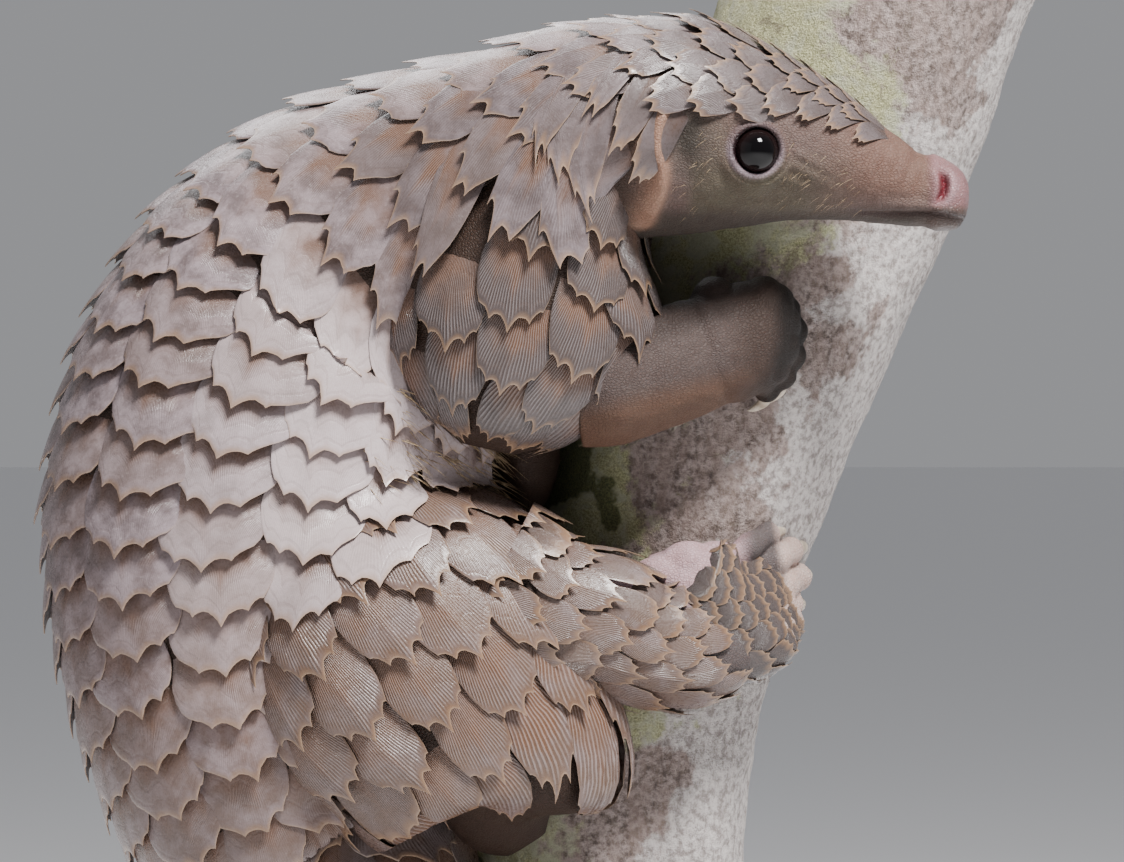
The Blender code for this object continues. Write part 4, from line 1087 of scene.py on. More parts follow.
def mirrored(point, shift):
    """Point on the other side of the trunk, moved by the shift; None leaves it in place."""
    if shift is None:
        return np.array(point, float)
    return np.array((point[0] + shift[0], 2 * TRUNK_Y - point[1] + shift[1], point[2] + shift[2]))


def paw_meshes(table, digits, pads, shift):
    """Meshes of a hand's or foot's flesh, and of its claws."""
    meshes = [tube_mesh(paw_tube(table, shift), step=0.8, sides=36)]
    meshes += [ball_mesh(mirrored(centre, shift), radii) for centre, radii in pads]
    claws = []
    for root, knuckle, tip, thick, thin, bend, point, claw in digits:
        root, knuckle, tip, bend, point = (mirrored(p, shift) for p in (root, knuckle, tip, bend, point))
        end = tip + unit(tip - knuckle) * thin * 0.75
        meshes.append(strand_mesh(
            [root, root * 0.5 + knuckle * 0.5, knuckle, knuckle * 0.45 + tip * 0.55, tip, end],
            [thick * 0.92, thick * 0.9, thick * 1.06, thin * 0.98, thin * 1.08, thin * 0.5]))
        claws.append(strand_mesh(
            [tip * 0.75 + knuckle * 0.25, tip * 0.5 + bend * 0.5, bend,
             bend * 0.45 + point * 0.55 + (bend - tip) * 0.12, point],
            [claw * 0.95, claw * 1.05, claw * 0.85, claw * 0.5, 0.12], sides=16))
    return meshes, claws


def paw_tube(table, shift):
    """Tube of the flesh of a hand or foot."""
    return limb_tube([tuple(mirrored(row[:3], shift)) + tuple(row[3:]) for row in table])


def join_meshes(meshes):
    """Points, quads and other faces of several meshes as one."""
    starts = np.cumsum([0] + [len(mesh[0]) for mesh in meshes[:-1]])
    return (np.concatenate([mesh[0] for mesh in meshes]),
            np.concatenate([mesh[1] + start for mesh, start in zip(meshes, starts)]),
            [face + start for mesh, start in zip(meshes, starts) for face in mesh[2]])


def melt(meshes, voxel, rounds):
    """One smooth skin over overlapping closed meshes."""
    obj = make_object("melt", *join_meshes(meshes))
    remesh = obj.modifiers.new("remesh", "REMESH")
    remesh.mode = "VOXEL"
    remesh.voxel_size = voxel * MM
    soften = obj.modifiers.new("soften", "SMOOTH")
    soften.factor = 0.5
    soften.iterations = rounds
    mesh = bpy.data.meshes.new_from_object(obj.evaluated_get(bpy.context.evaluated_depsgraph_get()))
    co = np.zeros(len(mesh.vertices) * 3, np.float32)
    mesh.vertices.foreach_get("co", co)
    corners = np.zeros(len(mesh.loops), np.int32)
    mesh.loops.foreach_get("vertex_index", corners)
    bpy.data.objects.remove(obj)
    bpy.data.meshes.remove(mesh)
    return co.reshape(-1, 3) / MM - (0, 0, VIEW_HEIGHT), corners.reshape(-1, 4)


def belly_fold():
    """Soft fold of the belly between the limbs."""
    points, quads, rest = ball_mesh(*BELLY_FOLD, rows=40, sides=60)
    points = points + 0.5 * noise(points, 5.0, 8)[:, None] * unit(points - points.mean(0))
    return points, quads, rest, 0.97 + 0.02 * unit(points - points.mean(0))[:, ::2]


def sleeve(tube, cell):
    """Skin of a limb above the paw, in its cell of the bake map."""
    points, quads, rest = tube_mesh(tube, step=1.5, sides=SLEEVE_SIDES)
    number = np.arange(len(points))
    across, along = number % SLEEVE_SIDES / SLEEVE_SIDES, number / len(points)
    return points, quads, rest, np.stack([0.02 + 0.16 * cell + 0.14 * along, 0.52 + 0.2 * across], axis=1)


def paw(meshes, cell):
    """Skin of a paw melted from its meshes, in its cell of the bake map."""
    points, quads = melt(meshes, voxel=0.5, rounds=6)
    outward = unit(points - points.mean(0))
    points = points + 0.25 * noise(points, 3.0, 31)[:, None] * outward * (points[:, :1] > 12)
    low, high = points.min(0), points.max(0)
    share = (points - low) / (high - low)
    back = share[:, 1] > 0.5
    across = 0.02 + 0.24 * cell + 0.11 * share[:, 0] + 0.12 * back
    return points, quads, [], np.stack([across, 0.75 + 0.22 * share[:, 2]], axis=1)


def build_skin(spine, places, tubes):
    """One skin over all flesh, and the claws."""
    parts = [spine_skin(spine, places), belly_fold()]
    parts += [sleeve(tubes[name], cell) for cell, name in enumerate(SLEEVES)]
    claws = []
    for cell, (limb, table, digits, pads, shift) in enumerate(PAWS):
        meshes, paw_claws = paw_meshes(table, digits, pads, shift)
        if limb:
            meshes.append(tube_mesh(tubes[limb], step=0.8))
        parts.append(paw(meshes, cell))
        claws += paw_claws
    points, quads, rest = join_meshes(parts)
    skin = make_object("skin", points, quads, rest)
    set_bake_map(skin, np.concatenate([part[3] for part in parts]))
    paint_skin(skin, points, len(parts[0][0]))
    return skin, claws


# Colours of the skin, linear
FACE = (0.0961, 0.0651, 0.0558)
SNOUT = (0.116, 0.0675, 0.0513)
CHEEK = (0.0638, 0.0525, 0.0345)
NOSE = (0.189, 0.105, 0.108)
NOSE_PALE = (0.315, 0.21, 0.225)
NOSTRIL_RED = (0.10, 0.012, 0.018)
MOUTH_DARK = (0.0312, 0.0182, 0.0156)
LID_LOW = (0.173, 0.137, 0.153)
LID_HIGH = (0.072, 0.0456, 0.0408)
LID_RED = (0.012, 0.005, 0.006)
EAR = (0.223, 0.13, 0.09)
# dark grey-brown hair of the hollow before the ear, darkened further as painted shade of the hollow
EAR_HOLLOW_HAIR_AND_SHADE = (0.035, 0.028, 0.022)
UNDER = (0.036, 0.027, 0.0216)
ARM = (0.0528, 0.0374, 0.033)
ARM_DARK = (0.0228, 0.0143, 0.0117)
ARM_WARM = (0.0788, 0.042, 0.0263)
# near-black of the fingers: dark brown skin with painted shade on the fist's shadow side
FIST_DARK_AND_SHADE = (0.00858, 0.00585, 0.00468)
HAND_BROWN = (0.0294, 0.0168, 0.0118)
SOLE = (0.319, 0.217, 0.23)
FOOT_GREY = (0.0715, 0.0585, 0.0572)
TOE_PALE = (0.381, 0.292, 0.258)
BODY_SKIN = (0.0293, 0.0164, 0.0109)


class Paint:
    """Colour and wetness of each vertex."""

    def __init__(self, points):
        self.points = points
        self.colour = np.tile(np.array(BODY_SKIN), (len(points), 1))
        self.wet = np.zeros(len(points))
        self.patch = 0.5 + 0.5 * noise(points, 6.0, 5)

    def mix(self, target, share):
        share = np.clip(np.asarray(share, float), 0, 1)[:, None]
        self.colour = self.colour * (1 - share) + np.array(target) * share

    def moisten(self, share):
        self.wet = np.maximum(self.wet, share)


def paint_skin(skin, points, spine_count):
    """Colour and wetness of the skin; the first vertices are those of the spine's tube."""
    paint = Paint(points)
    body = np.arange(len(points)) < spine_count
    paint_face(paint, body & (points[:, 0] > 8))
    for eye in (np.array(EYE), other_side(EYE)):
        paint_lids(paint, body, points - eye)
    paint_arms(paint, ~body & (points[:, 2] > -8) & (points[:, 0] > 4))
    paint_feet(paint, ~body & (points[:, 2] < -14) & (points[:, 0] > 8))
    set_layer(skin, "tint", np.concatenate([paint.colour, paint.wet[:, None]], axis=1))


def paint_face(paint, head):
    """Face, chin, nose, mouth and ears."""
    (x, y, z), patch, mix = paint.points.T, paint.patch, paint.mix
    side = np.abs(y - HEAD_Y)
    mix(FACE, head * ramp(x, 12, 26))
    mix(SNOUT, head * ramp(x, 52, 70) * ramp(z, 49, 54))
    mix(CHEEK, head * (1 - ramp(x, 50, 68)) * (1 - ramp(z, 54, 63)) * ramp(x, 26, 30) * (0.75 + 0.4 * patch))
    mix(CHEEK, head * (0.25 + 0.5 * patch) * (1 - ramp(x, 34, 40)) * ramp(x, 27, 30) * (1 - ramp(z, 66, 72)))
    mix(UNDER, head * (1 - ramp(z, 46.5, 50.5)) * (1 - 0.5 * ramp(x, 76, 84)))
    mix(NOSE, head * ramp(x, 80, 82.5) * ramp(z, 48.5, 50.5))
    hole, wing, _ = nostril_shape(x, z)
    mix(NOSE_PALE, head * wing * 0.7 * ramp(side, 1, 4))
    mix(NOSTRIL_RED, head * 1.3 * hole * ramp(side, 2.5, 4.5))
    mix(MOUTH_DARK, head * bump(z, mouth_level(x), 0.7) * ramp(x, 60, 68) * 0.85)
    distance, share, ahead = line_distance(x, z, EAR_LINE)
    ear = head * ramp(side, 6, 10)
    # the hollow before the ear: its dark hair, with painted shade of the hollow on top
    mix(EAR_HOLLOW_HAIR_AND_SHADE, ear * np.exp(-((x - 27.5) / 4.6) ** 2 - ((z - 64.0) / 8.0) ** 2) * 1.1)
    mix(EAR, ear * 1.2 * np.exp(-np.where(ahead > 0, distance / 1.3, distance / 4.0) ** 2)
        * ramp(share, 0, 0.1) * (0.8 + 0.3 * patch))
    paint.moisten(head * ramp(x, 80, 84) * 0.7)


def paint_lids(paint, body, offset):
    """Lids and wet rim of the eye, by the offset of each vertex from it."""
    r = np.linalg.norm(offset, axis=1)
    flat = np.hypot(offset[:, 0], offset[:, 2])
    low = 1 - ramp(offset[:, 2], -2, 4)
    paint.mix(LID_HIGH, body * (1 - ramp(flat, 6.0, 7.6)) * (r < 12) * (1 - low))
    paint.mix(LID_LOW, body * (1 - ramp(flat, 5.7, 6.9)) * (r < 12) * (0.25 + 0.75 * low))
    paint.mix(LID_RED, body * (1 - ramp(flat, 4.9, 5.5 - 0.3 * low)) * (r < 9))
    paint.moisten(body * (1 - ramp(flat, 5.0, 5.7)) * (r < 9))


def paint_arms(paint, arm):
    """Arms, darkening to the fingers, where the near-black is partly the hand's dark skin and partly painted
    shade on the fist's shadow side.
    """
    (x, _, z), mix = paint.points.T, paint.mix
    mix(ARM, arm)
    mix(ARM_WARM, arm * (1 - ramp(z - 0.25 * x, 0, 6)))
    mix(ARM_DARK, arm * ramp(z - 0.35 * x, 10, 15) * 0.9)
    mix(HAND_BROWN, arm * ramp(x, 34, 44) * 0.8)
    # fingers: dark skin and painted shade of the fist's shadow side
    fingers = ramp(x + 0.35 * (20 - z) * (z < 20), 45, 52)
    mix(FIST_DARK_AND_SHADE, arm * np.clip(fingers + 0.7 * (paint.patch - 0.5) * ramp(x, 38, 44), 0, 1))


def paint_feet(paint, foot):
    """Grey feet with paler soles and toes."""
    x, _, z = paint.points.T
    paint.mix(FOOT_GREY, foot)
    paint.mix(SOLE, foot * np.clip(ramp(z + 0.35 * (36 - x), -38, -34), 0, 1) * (1 - ramp(x, 38, 44)))
    paint.mix(TOE_PALE, foot * ramp(x + 0.15 * np.abs(z + 34), 49, 52))


# Claws, eyes, trunk and stand

def build_claws(claws):
    """All claws as one piece."""
    return make_object("claws", *join_meshes(claws))


def hair_meshes(roots, ways, lengths, thick):
    """Thin closed cones that hang a little, as points and quads, and their end triangles."""
    share = np.array(HAIR_RINGS)[None, :, None]
    lengths = lengths[:, None, None]
    hang = np.array((0, 0, -0.22))
    centres = roots[:, None] + ways[:, None] * share * lengths + hang * lengths * share ** 2
    right = unit(np.cross(ways, (0.3, 0.2, 1.0)))
    up = np.cross(right, ways)
    turns = np.arange(HAIR_SIDES) * 2 * math.pi / HAIR_SIDES
    round_it = right[:, None] * np.cos(turns)[:, None] + up[:, None] * np.sin(turns)[:, None]
    radius = thick[:, None, None, None] * (1.02 - share[..., None])
    points = (centres[:, :, None] + round_it[:, None] * radius).reshape(-1, 3)
    starts = np.arange(len(roots))[:, None, None] * HAIR_CORNERS
    quads = (grid_quads(len(HAIR_RINGS), HAIR_SIDES, wrap=True)[None] + starts).reshape(-1, 4)
    corners = np.arange(HAIR_CORNERS)
    ends = [end + start for start in starts.ravel() for end in (corners[:HAIR_SIDES], corners[:-4:-1])]
    return points, quads, ends


def build_hairs(spine):
    """Golden bristles at the fold of the belly and short pale hairs on the cheeks."""
    rng = np.random.default_rng(SEED + 2)
    rows = []
    for side in (1, -1):
        for count, s_range, u_range, depth, way, scatter, lengths, widths in HAIRS:
            s, u = rng.uniform(*s_range, count), side * rng.uniform(*u_range, count)
            roots = spine.surface(s, u, -depth)
            ways = np.array(way) * (1, side, 1) + rng.normal(0, scatter, (count, 3))
            group = np.column_stack([roots, ways, rng.uniform(*lengths, count), rng.uniform(*widths, count)])
            rows.append(group[np.hypot(roots[:, 0] - EYE[0], roots[:, 2] - EYE[2]) > HAIRLESS])
    rows = np.concatenate(rows)
    roots, ways, lengths, thick = rows[:, :3], rows[:, 3:6], rows[:, 6], rows[:, 7]
    hairs = make_object("hairs", *hair_meshes(roots, unit(ways), lengths, thick))
    number, corner = np.divmod(np.arange(HAIR_CORNERS * len(roots)), HAIR_CORNERS)
    columns = math.ceil(math.sqrt(len(roots)))
    across = (number % columns + 0.12 * (corner // HAIR_SIDES + 1)) / columns
    along = (number // columns + 0.2 * (corner % HAIR_SIDES + 1)) / columns
    set_bake_map(hairs, 0.01 + 0.98 * np.stack([across, along], axis=1))
    return hairs


def build_eyes():
    """Glossy eyeballs with a slightly raised cornea."""
    eyes = []
    for name, centre, mirror in (("right", np.array(EYE), 1), ("left", other_side(EYE), -1)):
        way = unit(np.array(EYE_WAY) * (1, mirror, 1))
        level = unit(np.cross(way, (0, 0, 1)))
        rise = np.cross(level, way)
        tilt, turn = np.meshgrid(np.linspace(0.001, math.pi - 0.001, EYE_GRID[0]),
                                 np.linspace(0, 2 * math.pi, EYE_GRID[1], endpoint=False), indexing="ij")
        radius = EYE_RADIUS + 0.22 * (1 - ramp(tilt, 0.15, 0.85))
        out = (way * np.cos(tilt)[..., None] + level * (np.sin(tilt) * np.cos(turn))[..., None]
               + rise * (np.sin(tilt) * np.sin(turn))[..., None])
        points = centre + out * radius[..., None]
        obj = make_object(f"eyeball_{name}", points.reshape(-1, 3), grid_quads(*EYE_GRID, wrap=True))
        iris = ramp(tilt, 0.0, 1.2)
        layer = np.stack([iris, iris, iris, np.ones_like(iris)], axis=-1)
        set_layer(obj, "iris", layer.reshape(-1, 4))
        eyes.append(obj)
    return eyes


def bark_points():
    """Rings of points up the leaning stem, with lumps and shallow cracks."""
    rows, sides = TRUNK_GRID
    turns = np.linspace(0, 2 * math.pi, sides, endpoint=False)
    heights = np.linspace(TRUNK_AXIS[0][0], TRUNK_AXIS[-1][0], rows)
    z, turn = np.meshgrid(heights, turns, indexing="ij")
    lean = (trunk_x(z + 1) - trunk_x(z - 1)) / 2
    lump = np.sin(3 * turn + z / 31) + np.sin(5 * turn - z / 17)
    ring = np.stack([np.cos(turn) * TRUNK_RADIUS, np.sin(turn) * TRUNK_RADIUS, z], axis=-1)
    coarse, fine = noise(ring * (1, 1, 0.6), 9.0, 11), noise(ring * (1, 1, 0.8), 3.0, 12)
    grain = noise(ring, 1.3, 13)
    radius = TRUNK_RADIUS - 0.8 + 0.4 * lump + 0.45 * coarse + 0.22 * fine + 0.10 * grain
    end = np.minimum(heights - heights[0], heights[-1] - heights)[:, None]
    radius = radius - 1.2 * (1 - ramp(end, 0, 1.5))
    return np.stack([trunk_x(z) + radius * np.sqrt(1 + lean ** 2) * np.cos(turn),
                     TRUNK_Y + radius * np.sin(turn), z], axis=-1).reshape(-1, 3)


def build_trunk():
    """The stem's bark, closed by level cut ends."""
    rows, sides = TRUNK_GRID
    bark = bark_points()
    points, quads, caps = [bark], [grid_quads(rows, sides, wrap=True)], []
    for first, top in ((0, False), (len(bark) - sides, True)):
        outer = bark[first:first + sides]
        middle = outer.mean(0)
        last = first + np.arange(sides)
        for share in CUT_RINGS:
            inner = middle + (outer - middle) * share
            inner[:, 2] = outer[:, 2]
            now = len(bark) + sides * (len(points) - 1) + np.arange(sides)
            points.append(inner)
            quad = np.stack([last, np.roll(last, -1), np.roll(now, -1), now], axis=1)
            quads.append(quad if top else quad[:, ::-1])
            last = now
        caps.append(last if top else last[::-1])
    points = np.concatenate(points)
    trunk = make_object("trunk_bark", points, np.concatenate(quads), caps)
    set_growth(trunk, points)
    return trunk


def set_growth(trunk, points):
    """Shares of lichen, moss and white patches on the bark."""
    x, _, z = points.T
    ahead = (x - trunk_x(z)) / TRUNK_RADIUS
    broad, fine = noise(points, 26.0, 21), noise(points, 8.0, 22)
    lichen = ramp(-ahead + 0.8 * broad + 0.35 * fine + 0.5 * ramp(z, 60, 110), -0.35, 0.65)
    moss = ramp(0.9 * broad + 0.8 * fine - 0.7 * ahead - 0.4 * ramp(z, -10, 50), 0.45, 1.1)
    moss = moss * ramp(-z, -60, 20)
    white = ramp(ahead + 0.5 * broad + 0.4 * fine - 0.3 * ramp(z, 20, 80), 0.1, 0.8)
    set_layer(trunk, "growth", np.stack([lichen, moss, white, np.ones_like(x)], axis=1))


def build_stand():
    """Oval plinth with rounded edges."""
    low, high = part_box("stand_base")
    middle = (low + high) / 2 / MM
    half = (high - low) / 2 / MM
    turns = np.linspace(0, 2 * math.pi, PLINTH_SIDES, endpoint=False)
    low_edge, top_edge = PLINTH_EDGES
    steps = [(low_edge * (math.sin(a) - 1), low_edge * (1 - math.cos(a)) - half.z)
             for a in np.linspace(0, math.pi / 2, 5)]
    steps += [(top_edge * (math.cos(a) - 1), top_edge * (math.sin(a) - 1) + half.z)
              for a in np.linspace(0, math.pi / 2, 9)]
    rings = []
    for inset, z in steps:
        rings.append(np.stack([middle.x + (half.x + inset) * np.cos(turns),
                               middle.y + (half.y + inset) * np.sin(turns),
                               np.full(len(turns), middle.z + z - VIEW_HEIGHT)], axis=1))
    points = np.concatenate(rings)
    quads = grid_quads(len(rings), len(turns), wrap=True)
    caps = [np.arange(len(turns))[::-1], np.arange(len(turns)) + len(points) - len(turns)]
    plinth = make_object("plinth", points, quads, caps)
    plinth.data.set_sharp_from_angle(angle=SHARP_EDGE)
    return plinth


# Materials

class Finish:
    """A material, built node by node; points are millimetres and scales are per millimetre."""

    def __init__(self, name):
        self.material = bpy.data.materials.new(name)
        self.material.use_nodes = True
        self.tree = self.material.node_tree
        self.surface = self.tree.nodes["Principled BSDF"]
        self.points = self.scaled(self.make("ShaderNodeTexCoord").outputs["Object"], 1 / MM)

    def make(self, kind, inputs=None, **settings):
        """A node with its settings and its inputs, which are numbers, colours or outputs."""
        node = self.tree.nodes.new(kind)
        for key, value in settings.items():
            setattr(node, key, value)
        for key, value in (inputs or {}).items():
            self.join(node.inputs[key], value)
        return node

    def join(self, socket, value):
        if isinstance(value, bpy.types.NodeSocket):
            self.tree.links.new(value, socket)
        else:
            socket.default_value = value

    def set(self, name, value):
        """A number, a colour or a node's output for one socket of the surface."""
        self.join(self.surface.inputs[name], value)

    def scaled(self, vector, factor):
        factors = (factor,) * 3 if isinstance(factor, (int, float)) else factor
        return self.make("ShaderNodeVectorMath", {0: vector, 1: factors}, operation="MULTIPLY").outputs[0]

    def noise(self, scale, detail=3.0, roughness=0.55, vector=None, distortion=0.0):
        node = self.make("ShaderNodeTexNoise", {"Vector": vector or self.points, "Scale": scale,
                                                "Detail": detail, "Roughness": roughness,
                                                "Distortion": distortion})
        return node.outputs["Fac"]

    def math(self, operation, a, b=0.5, clamp=False):
        return self.make("ShaderNodeMath", {0: a, 1: b}, operation=operation, use_clamp=clamp).outputs[0]

    def times(self, a, b, clamp=False):
        return self.math("MULTIPLY", a, b, clamp)

    def plus(self, a, b):
        return self.math("ADD", a, b)

    def minus(self, a, b):
        return self.math("SUBTRACT", a, b)

    def most(self, a, b):
        return self.math("MAXIMUM", a, b)

    def range(self, value, low, high, to_low=0.0, to_high=1.0):
        """Smooth step from one range to another."""
        node = self.make("ShaderNodeMapRange", {"Value": value, "From Min": low, "From Max": high,
                                                "To Min": to_low, "To Max": to_high})
        node.interpolation_type = "SMOOTHSTEP"
        return node.outputs["Result"]

    def mix(self, factor, a, b, blend="MIX"):
        a, b = (tuple(c) + (1.0,) if isinstance(c, tuple) and len(c) == 3 else c for c in (a, b))
        node = self.make("ShaderNodeMix", {0: factor, 6: a, 7: b}, data_type="RGBA", blend_type=blend)
        return node.outputs[2]

    def layer(self, name):
        """The four numbers of a point attribute."""
        node = self.make("ShaderNodeAttribute", attribute_name=name)
        parts = self.make("ShaderNodeSeparateColor", {"Color": node.outputs["Color"]})
        red, green, blue = parts.outputs
        return red, green, blue, node.outputs["Alpha"], node.outputs["Color"]

    def bump(self, height, distance):
        inputs = {"Height": height, "Distance": distance * MM, "Strength": 1.0}
        return self.make("ShaderNodeBump", inputs).outputs["Normal"]


def horn_material():
    """Horn of the plates: mauve-grey with fanned grooves, tan cusps and orange-brown roots; the grooves'
    ridges carry a painted highlight, while the grooves and the roots under the plate above carry painted
    shade.
    """
    f = Finish("horn")
    fan, edge, along, tone, _ = f.layer("plate")
    brown, light, keel, chance, _ = f.layer("mood")
    pale, dark = f.most(light, 0.0), f.most(f.times(light, -1.0), 0.0)
    shifted = f.make("ShaderNodeCombineXYZ", {0: f.times(chance, 60.0), 1: f.times(tone, 41.0)}).outputs[0]
    spot = f.make("ShaderNodeVectorMath", {0: f.points, 1: shifted}, operation="ADD").outputs[0]
    cloud = f.noise(0.16, 4.0, 0.6, spot)
    speck = f.noise(1.3, 4.0, 0.65, spot)
    patch = f.noise(0.12, 2.0, 0.5, spot)
    wobble = f.times(f.noise(0.15, 1.0, 0.5, spot), 0.012)
    groove = f.math("SINE", f.times(f.plus(fan, wobble), 560.0))
    groove = f.range(groove, -0.9, 0.9)
    faint = f.times(f.range(edge, 3.0, 9.0), f.range(patch, 0.4, 0.65, 0.12, 0.75))
    strong = f.times(keel, f.times(f.range(edge, 0.8, 3.5), f.range(patch, 0.25, 0.6, 0.45, 1.0)))
    strength = f.most(faint, strong)
    arc = f.math("SINE", f.times(f.plus(edge, f.times(patch, 5.0)), 1.5))
    arc = f.range(arc, 0.7, 1.0)
    grey = f.mix(f.range(cloud, 0.32, 0.68), (0.090, 0.068, 0.070), (0.225, 0.180, 0.192))
    grey = f.mix(f.range(speck, 0.55, 0.8, 0.0, 0.5), grey, (0.37, 0.32, 0.32))
    grey = f.mix(f.range(speck, 0.42, 0.28, 0.0, 0.4), grey, (0.09, 0.065, 0.06))
    grey = f.mix(f.times(tone, 0.45), grey, (0.15, 0.105, 0.088))
    grey = f.mix(f.times(pale, 0.6), grey, (0.46, 0.385, 0.385))
    grey = f.mix(f.times(brown, f.range(cloud, 0.3, 0.7, 0.95, 0.5)), grey, (0.125, 0.068, 0.040))
    grey = f.mix(f.times(dark, 0.8, True), grey, (0.036, 0.028, 0.026))
    # roots: orange-brown horn, darkened as painted shade where they show in the gaps under the plate above
    root = f.range(edge, 5.5, 12.0)
    colour = f.mix(f.times(root, f.range(patch, 0.35, 0.65, 0.25, 0.85)), grey, (0.11, 0.050, 0.024))
    cusp = f.plus(f.plus(edge, f.times(along, 0.28)), f.times(cloud, 2.0))
    colour = f.mix(f.range(cusp, 1.4, 4.2, 0.55, 0.0), colour, (0.23, 0.135, 0.075))
    colour = f.mix(f.range(edge, 0.1, 0.45, 0.25, 0.0), colour, (0.36, 0.26, 0.18))
    # ridge lightens the tops of the grooves' ridges as a painted highlight and darkens the grooves as painted
    # shade; it also drives the bump
    ridge = f.times(f.minus(groove, 0.5), strength)
    colour = f.mix(f.most(f.times(ridge, 0.42), 0.0), colour, (0.42, 0.37, 0.37))
    colour = f.mix(f.most(f.times(ridge, -0.62), 0.0), colour, (0.05, 0.03, 0.024))
    colour = f.mix(f.times(arc, 0.14), colour, (0.09, 0.06, 0.05))
    height = f.plus(ridge, f.plus(f.times(speck, 0.5), f.times(arc, -0.2)))
    f.set("Base Color", colour)
    f.set("Roughness", f.range(speck, 0.3, 0.7, 0.22, 0.38))
    f.set("Normal", f.bump(height, 0.13))
    f.set("Specular IOR Level", 0.32)
    return f.material


def skin_material():
    """Bare skin: tinted by its layer, wrinkled, a little see-through, shiny where it is wet."""
    f = Finish("bare_skin")
    _, _, _, wet, tint = f.layer("tint")
    cloud = f.noise(0.25, 4.0, 0.6)
    fine = f.noise(1.7, 4.0, 0.6)
    wrinkle = f.make("ShaderNodeTexVoronoi", {"Vector": f.scaled(f.points, (1.0, 1.0, 1.4)), "Scale": 1.15},
                     feature="DISTANCE_TO_EDGE").outputs["Distance"]
    wrinkle = f.range(wrinkle, 0.0, 0.22)
    colour = f.mix(f.range(cloud, 0.3, 0.7, 0.0, 0.55), tint,
                   f.mix(1.0, tint, (0.70, 0.58, 0.55), "MULTIPLY"))
    colour = f.mix(f.range(fine, 0.45, 0.75, 0.0, 0.35), colour,
                   f.mix(1.0, tint, (1.45, 1.4, 1.4), "MULTIPLY"))
    colour = f.mix(f.minus(0.35, f.times(wrinkle, 0.35)), colour,
                   f.mix(1.0, tint, (0.45, 0.40, 0.38), "MULTIPLY"))
    height = f.plus(f.times(wrinkle, 0.6), f.times(fine, 0.8))
    f.set("Specular IOR Level", 0.22)
    f.set("Subsurface Weight", 0.08)
    f.set("Subsurface Radius", (0.0012, 0.0005, 0.0003))
    f.set("Subsurface Scale", 0.6)
    f.set("Base Color", colour)
    f.set("Roughness", f.range(wet, 0.0, 1.0, 0.62, 0.18))
    f.set("Normal", f.bump(height, 0.18))
    return f.material


def hair_material():
    """Brown to golden bristles."""
    f = Finish("bristle")
    cloud = f.noise(0.6, 2.0)
    f.set("Base Color", f.mix(f.range(cloud, 0.35, 0.65), (0.16, 0.095, 0.05), (0.46, 0.34, 0.20)))
    f.set("Roughness", 0.45)
    return f.material


def eye_material():
    """Almost black, wet eyes."""
    f = Finish("wet_eye")
    iris = f.layer("iris")[0]
    colour = f.mix(f.range(iris, 0.35, 0.95), (0.0015, 0.0012, 0.0015), (0.006, 0.003, 0.003))
    f.set("Base Color", colour)
    f.set("Roughness", 0.04)
    f.set("IOR", 1.33)
    f.set("Specular IOR Level", 0.4)
    return f.material


def claw_material():
    """Pale horn of the claws with darker lines."""
    f = Finish("claw_horn")
    cloud = f.noise(0.5, 3.0)
    line = f.noise(3.0, 2.0, 0.5, f.scaled(f.points, (1.0, 0.25, 1.0)))
    colour = f.mix(f.range(cloud, 0.3, 0.7), (0.30, 0.24, 0.18), (0.46, 0.39, 0.31))
    colour = f.mix(f.range(line, 0.5, 0.8, 0.0, 0.5), colour, (0.16, 0.11, 0.08))
    f.set("Base Color", colour)
    f.set("Roughness", 0.38)
    f.set("Normal", f.bump(line, 0.12))
    return f.material


def bark_material():
    """Pinkish-grey bark with yellow-green lichen, white patches and cushions of moss."""
    f = Finish("bark")
    lichen_share, moss_share, white_share, _, _ = f.layer("growth")
    blot = f.noise(0.10, 5.0, 0.65, distortion=0.5)
    fine = f.noise(0.55, 6.0, 0.7)
    grit = f.noise(2.4, 4.0, 0.65)
    streak = f.noise(0.35, 4.0, 0.6, f.scaled(f.points, (1.0, 1.0, 0.25)))
    bark = f.mix(f.range(fine, 0.35, 0.65), (0.085, 0.060, 0.050), (0.40, 0.325, 0.30))
    bark = f.mix(f.range(streak, 0.35, 0.65, 0.0, 0.5), bark, (0.30, 0.22, 0.19))
    white = f.mix(f.range(fine, 0.35, 0.6), (0.30, 0.26, 0.245), (0.66, 0.62, 0.60))
    edge = f.times(f.minus(f.noise(0.3, 4.0, 0.6), 0.5), 1.6)
    colour = f.mix(f.range(f.plus(white_share, edge), 0.35, 0.75, 0.0, 0.75), bark, white)
    lichen = f.mix(f.range(grit, 0.35, 0.65), (0.23, 0.23, 0.10), (0.50, 0.49, 0.28))
    lichen = f.mix(f.range(blot, 0.45, 0.6, 0.0, 0.7), lichen, (0.40, 0.40, 0.30))
    colour = f.mix(f.range(f.plus(lichen_share, edge), 0.35, 0.8, 0.0, 0.9), colour, lichen)
    moss = f.mix(f.range(grit, 0.3, 0.7), (0.045, 0.055, 0.02), (0.17, 0.17, 0.07))
    colour = f.mix(f.range(f.plus(moss_share, edge), 0.4, 0.7), colour, moss)
    colour = f.mix(f.range(blot, 0.40, 0.30, 0.0, 0.6), colour, (0.10, 0.075, 0.055))
    height = f.plus(fine, f.times(grit, 0.5))
    f.set("Base Color", colour)
    f.set("Roughness", 0.88)
    f.set("Normal", f.bump(height, 1.8))
    return f.material


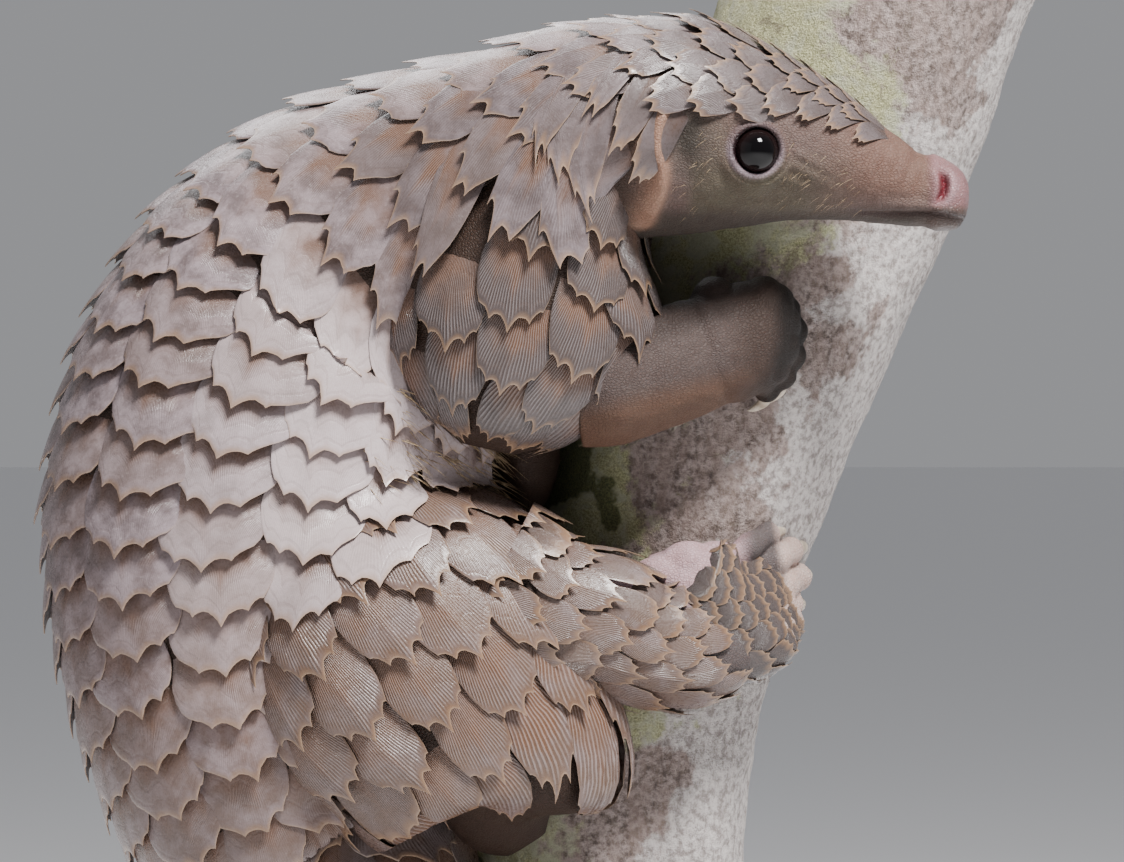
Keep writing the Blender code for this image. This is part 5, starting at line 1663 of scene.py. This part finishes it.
def stand_material():
    """Dark lacquer with soft clouds."""
    f = Finish("dark_lacquer")
    cloud = f.noise(0.03, 3.0)
    fine = f.noise(1.6, 3.0)
    f.set("Base Color", f.mix(f.range(cloud, 0.3, 0.7), (0.020, 0.018, 0.017), (0.032, 0.029, 0.027)))
    f.set("Roughness", f.range(fine, 0.3, 0.7, 0.32, 0.42))
    f.set("Normal", f.bump(fine, 0.02))
    return f.material


def rod_material():
    """Metal brushed lengthwise."""
    f = Finish("brushed_rod")
    lines = f.noise(3.0, 2.0, 0.5, f.scaled(f.points, (1.0, 1.0, 0.03)))
    f.set("Base Color", f.mix(f.range(lines, 0.3, 0.7), (0.42, 0.41, 0.39), (0.55, 0.54, 0.52)))
    f.set("Metallic", 1.0)
    f.set("Roughness", f.range(lines, 0.3, 0.7, 0.28, 0.42))
    return f.material


def floor_material():
    """Plain pale floor."""
    f = Finish("pale_floor")
    f.set("Base Color", (0.86, 0.86, 0.87, 1.0))
    f.set("Roughness", 0.7)
    return f.material


# Stage

def build_stage():
    """Wide, level floor."""
    corners = np.array([(-1, -1), (1, -1), (1, 1), (-1, 1)]) * FLOOR_REACH
    floor = make_object("floor", [(x, y, -VIEW_HEIGHT) for x, y in corners], [(0, 1, 2, 3)])
    floor.data.materials.append(floor_material())


def build_camera():
    """Camera level with the view's middle."""
    camera = add_object("camera", bpy.data.cameras.new("camera"))
    camera.location = (0, -CAMERA_DISTANCE, VIEW_HEIGHT * MM)
    camera.rotation_euler = (math.pi / 2, 0, 0)
    camera.data.sensor_fit = "HORIZONTAL"
    camera.data.sensor_width = SENSOR
    camera.data.lens = SENSOR * CAMERA_DISTANCE / CAMERA_FIELD
    bpy.context.scene.camera = camera


def build_lights():
    """Area lights that face the animal, and an even sky."""
    for name, spot, size, power, colour in LIGHTS:
        light = bpy.data.lights.new(name, "AREA")
        light.size = size
        light.energy = power
        light.color = colour
        obj = add_object(name, light)
        obj.location = spot
        obj.rotation_euler = (Vector(LIGHT_TARGET) - Vector(spot)).to_track_quat("-Z", "Y").to_euler()
    world = bpy.data.worlds.new("soft")
    world.use_nodes = True
    sky = world.node_tree.nodes["Background"]
    sky.inputs["Color"].default_value = SKY
    sky.inputs["Strength"].default_value = SKY_STRENGTH
    bpy.context.scene.world = world


def keep(obj, slot, material, *nodes):
    """Material of a piece; it rides on the one body and replaces its nodes. The slot is not used."""
    obj.data.materials.append(material)
    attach(obj, "root")
    if nodes:
        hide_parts(*nodes)


def main():
    """All pieces, and the nodes that they replace."""
    build_camera()
    build_lights()
    build_stage()
    spine, places = spine_tube()
    tubes = {"upper_arm_right": limb_tube(UPPER_ARM_RIGHT), "upper_arm_left": limb_tube(UPPER_ARM_LEFT),
             "forearm_right": limb_tube(FOREARM_RIGHT), "forearm_left": limb_tube(FOREARM_LEFT),
             "thigh_right": limb_tube(THIGH_RIGHT), "thigh_left": limb_tube(THIGH_LEFT),
             "shank_right": limb_tube(SHANK_RIGHT), "shank_left": limb_tube(SHANK_LEFT),
             "foot_right": paw_tube(FOOT, None), "foot_left": paw_tube(FOOT, LEFT_FOOT_SHIFT)}
    flesh = ["head", "neck", "torso", "rump", "tail_1", "tail_2", "tail_3", "tail_4"]
    for side in ("_right", "_left"):
        flesh += [part + side for part in ("ear", "foreleg", "hindleg", "hand", "foot")]
    skin, claws = build_skin(spine, places, tubes)
    keep(skin, "skin", skin_material(), *flesh)
    horn = horn_material()
    for piece in build_scales(spine, places, tubes):
        keep(piece, "scales", horn)
    keep(build_hairs(spine), "skin", hair_material())
    keep(build_claws(claws), "scales", claw_material())
    wet = eye_material()
    for eye, node in zip(build_eyes(), ("eye_right", "eye_left")):
        keep(eye, "eye", wet, node)
    keep(build_trunk(), "bark", bark_material(), "perch_trunk")
    keep(build_stand(), "stand", stand_material(), "stand_base")
    rod = rod_material()
    for name in ("stand_rod_1", "stand_rod_2"):
        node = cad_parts[name]
        node.data.materials.clear()
        node.data.materials.append(rod)


main()
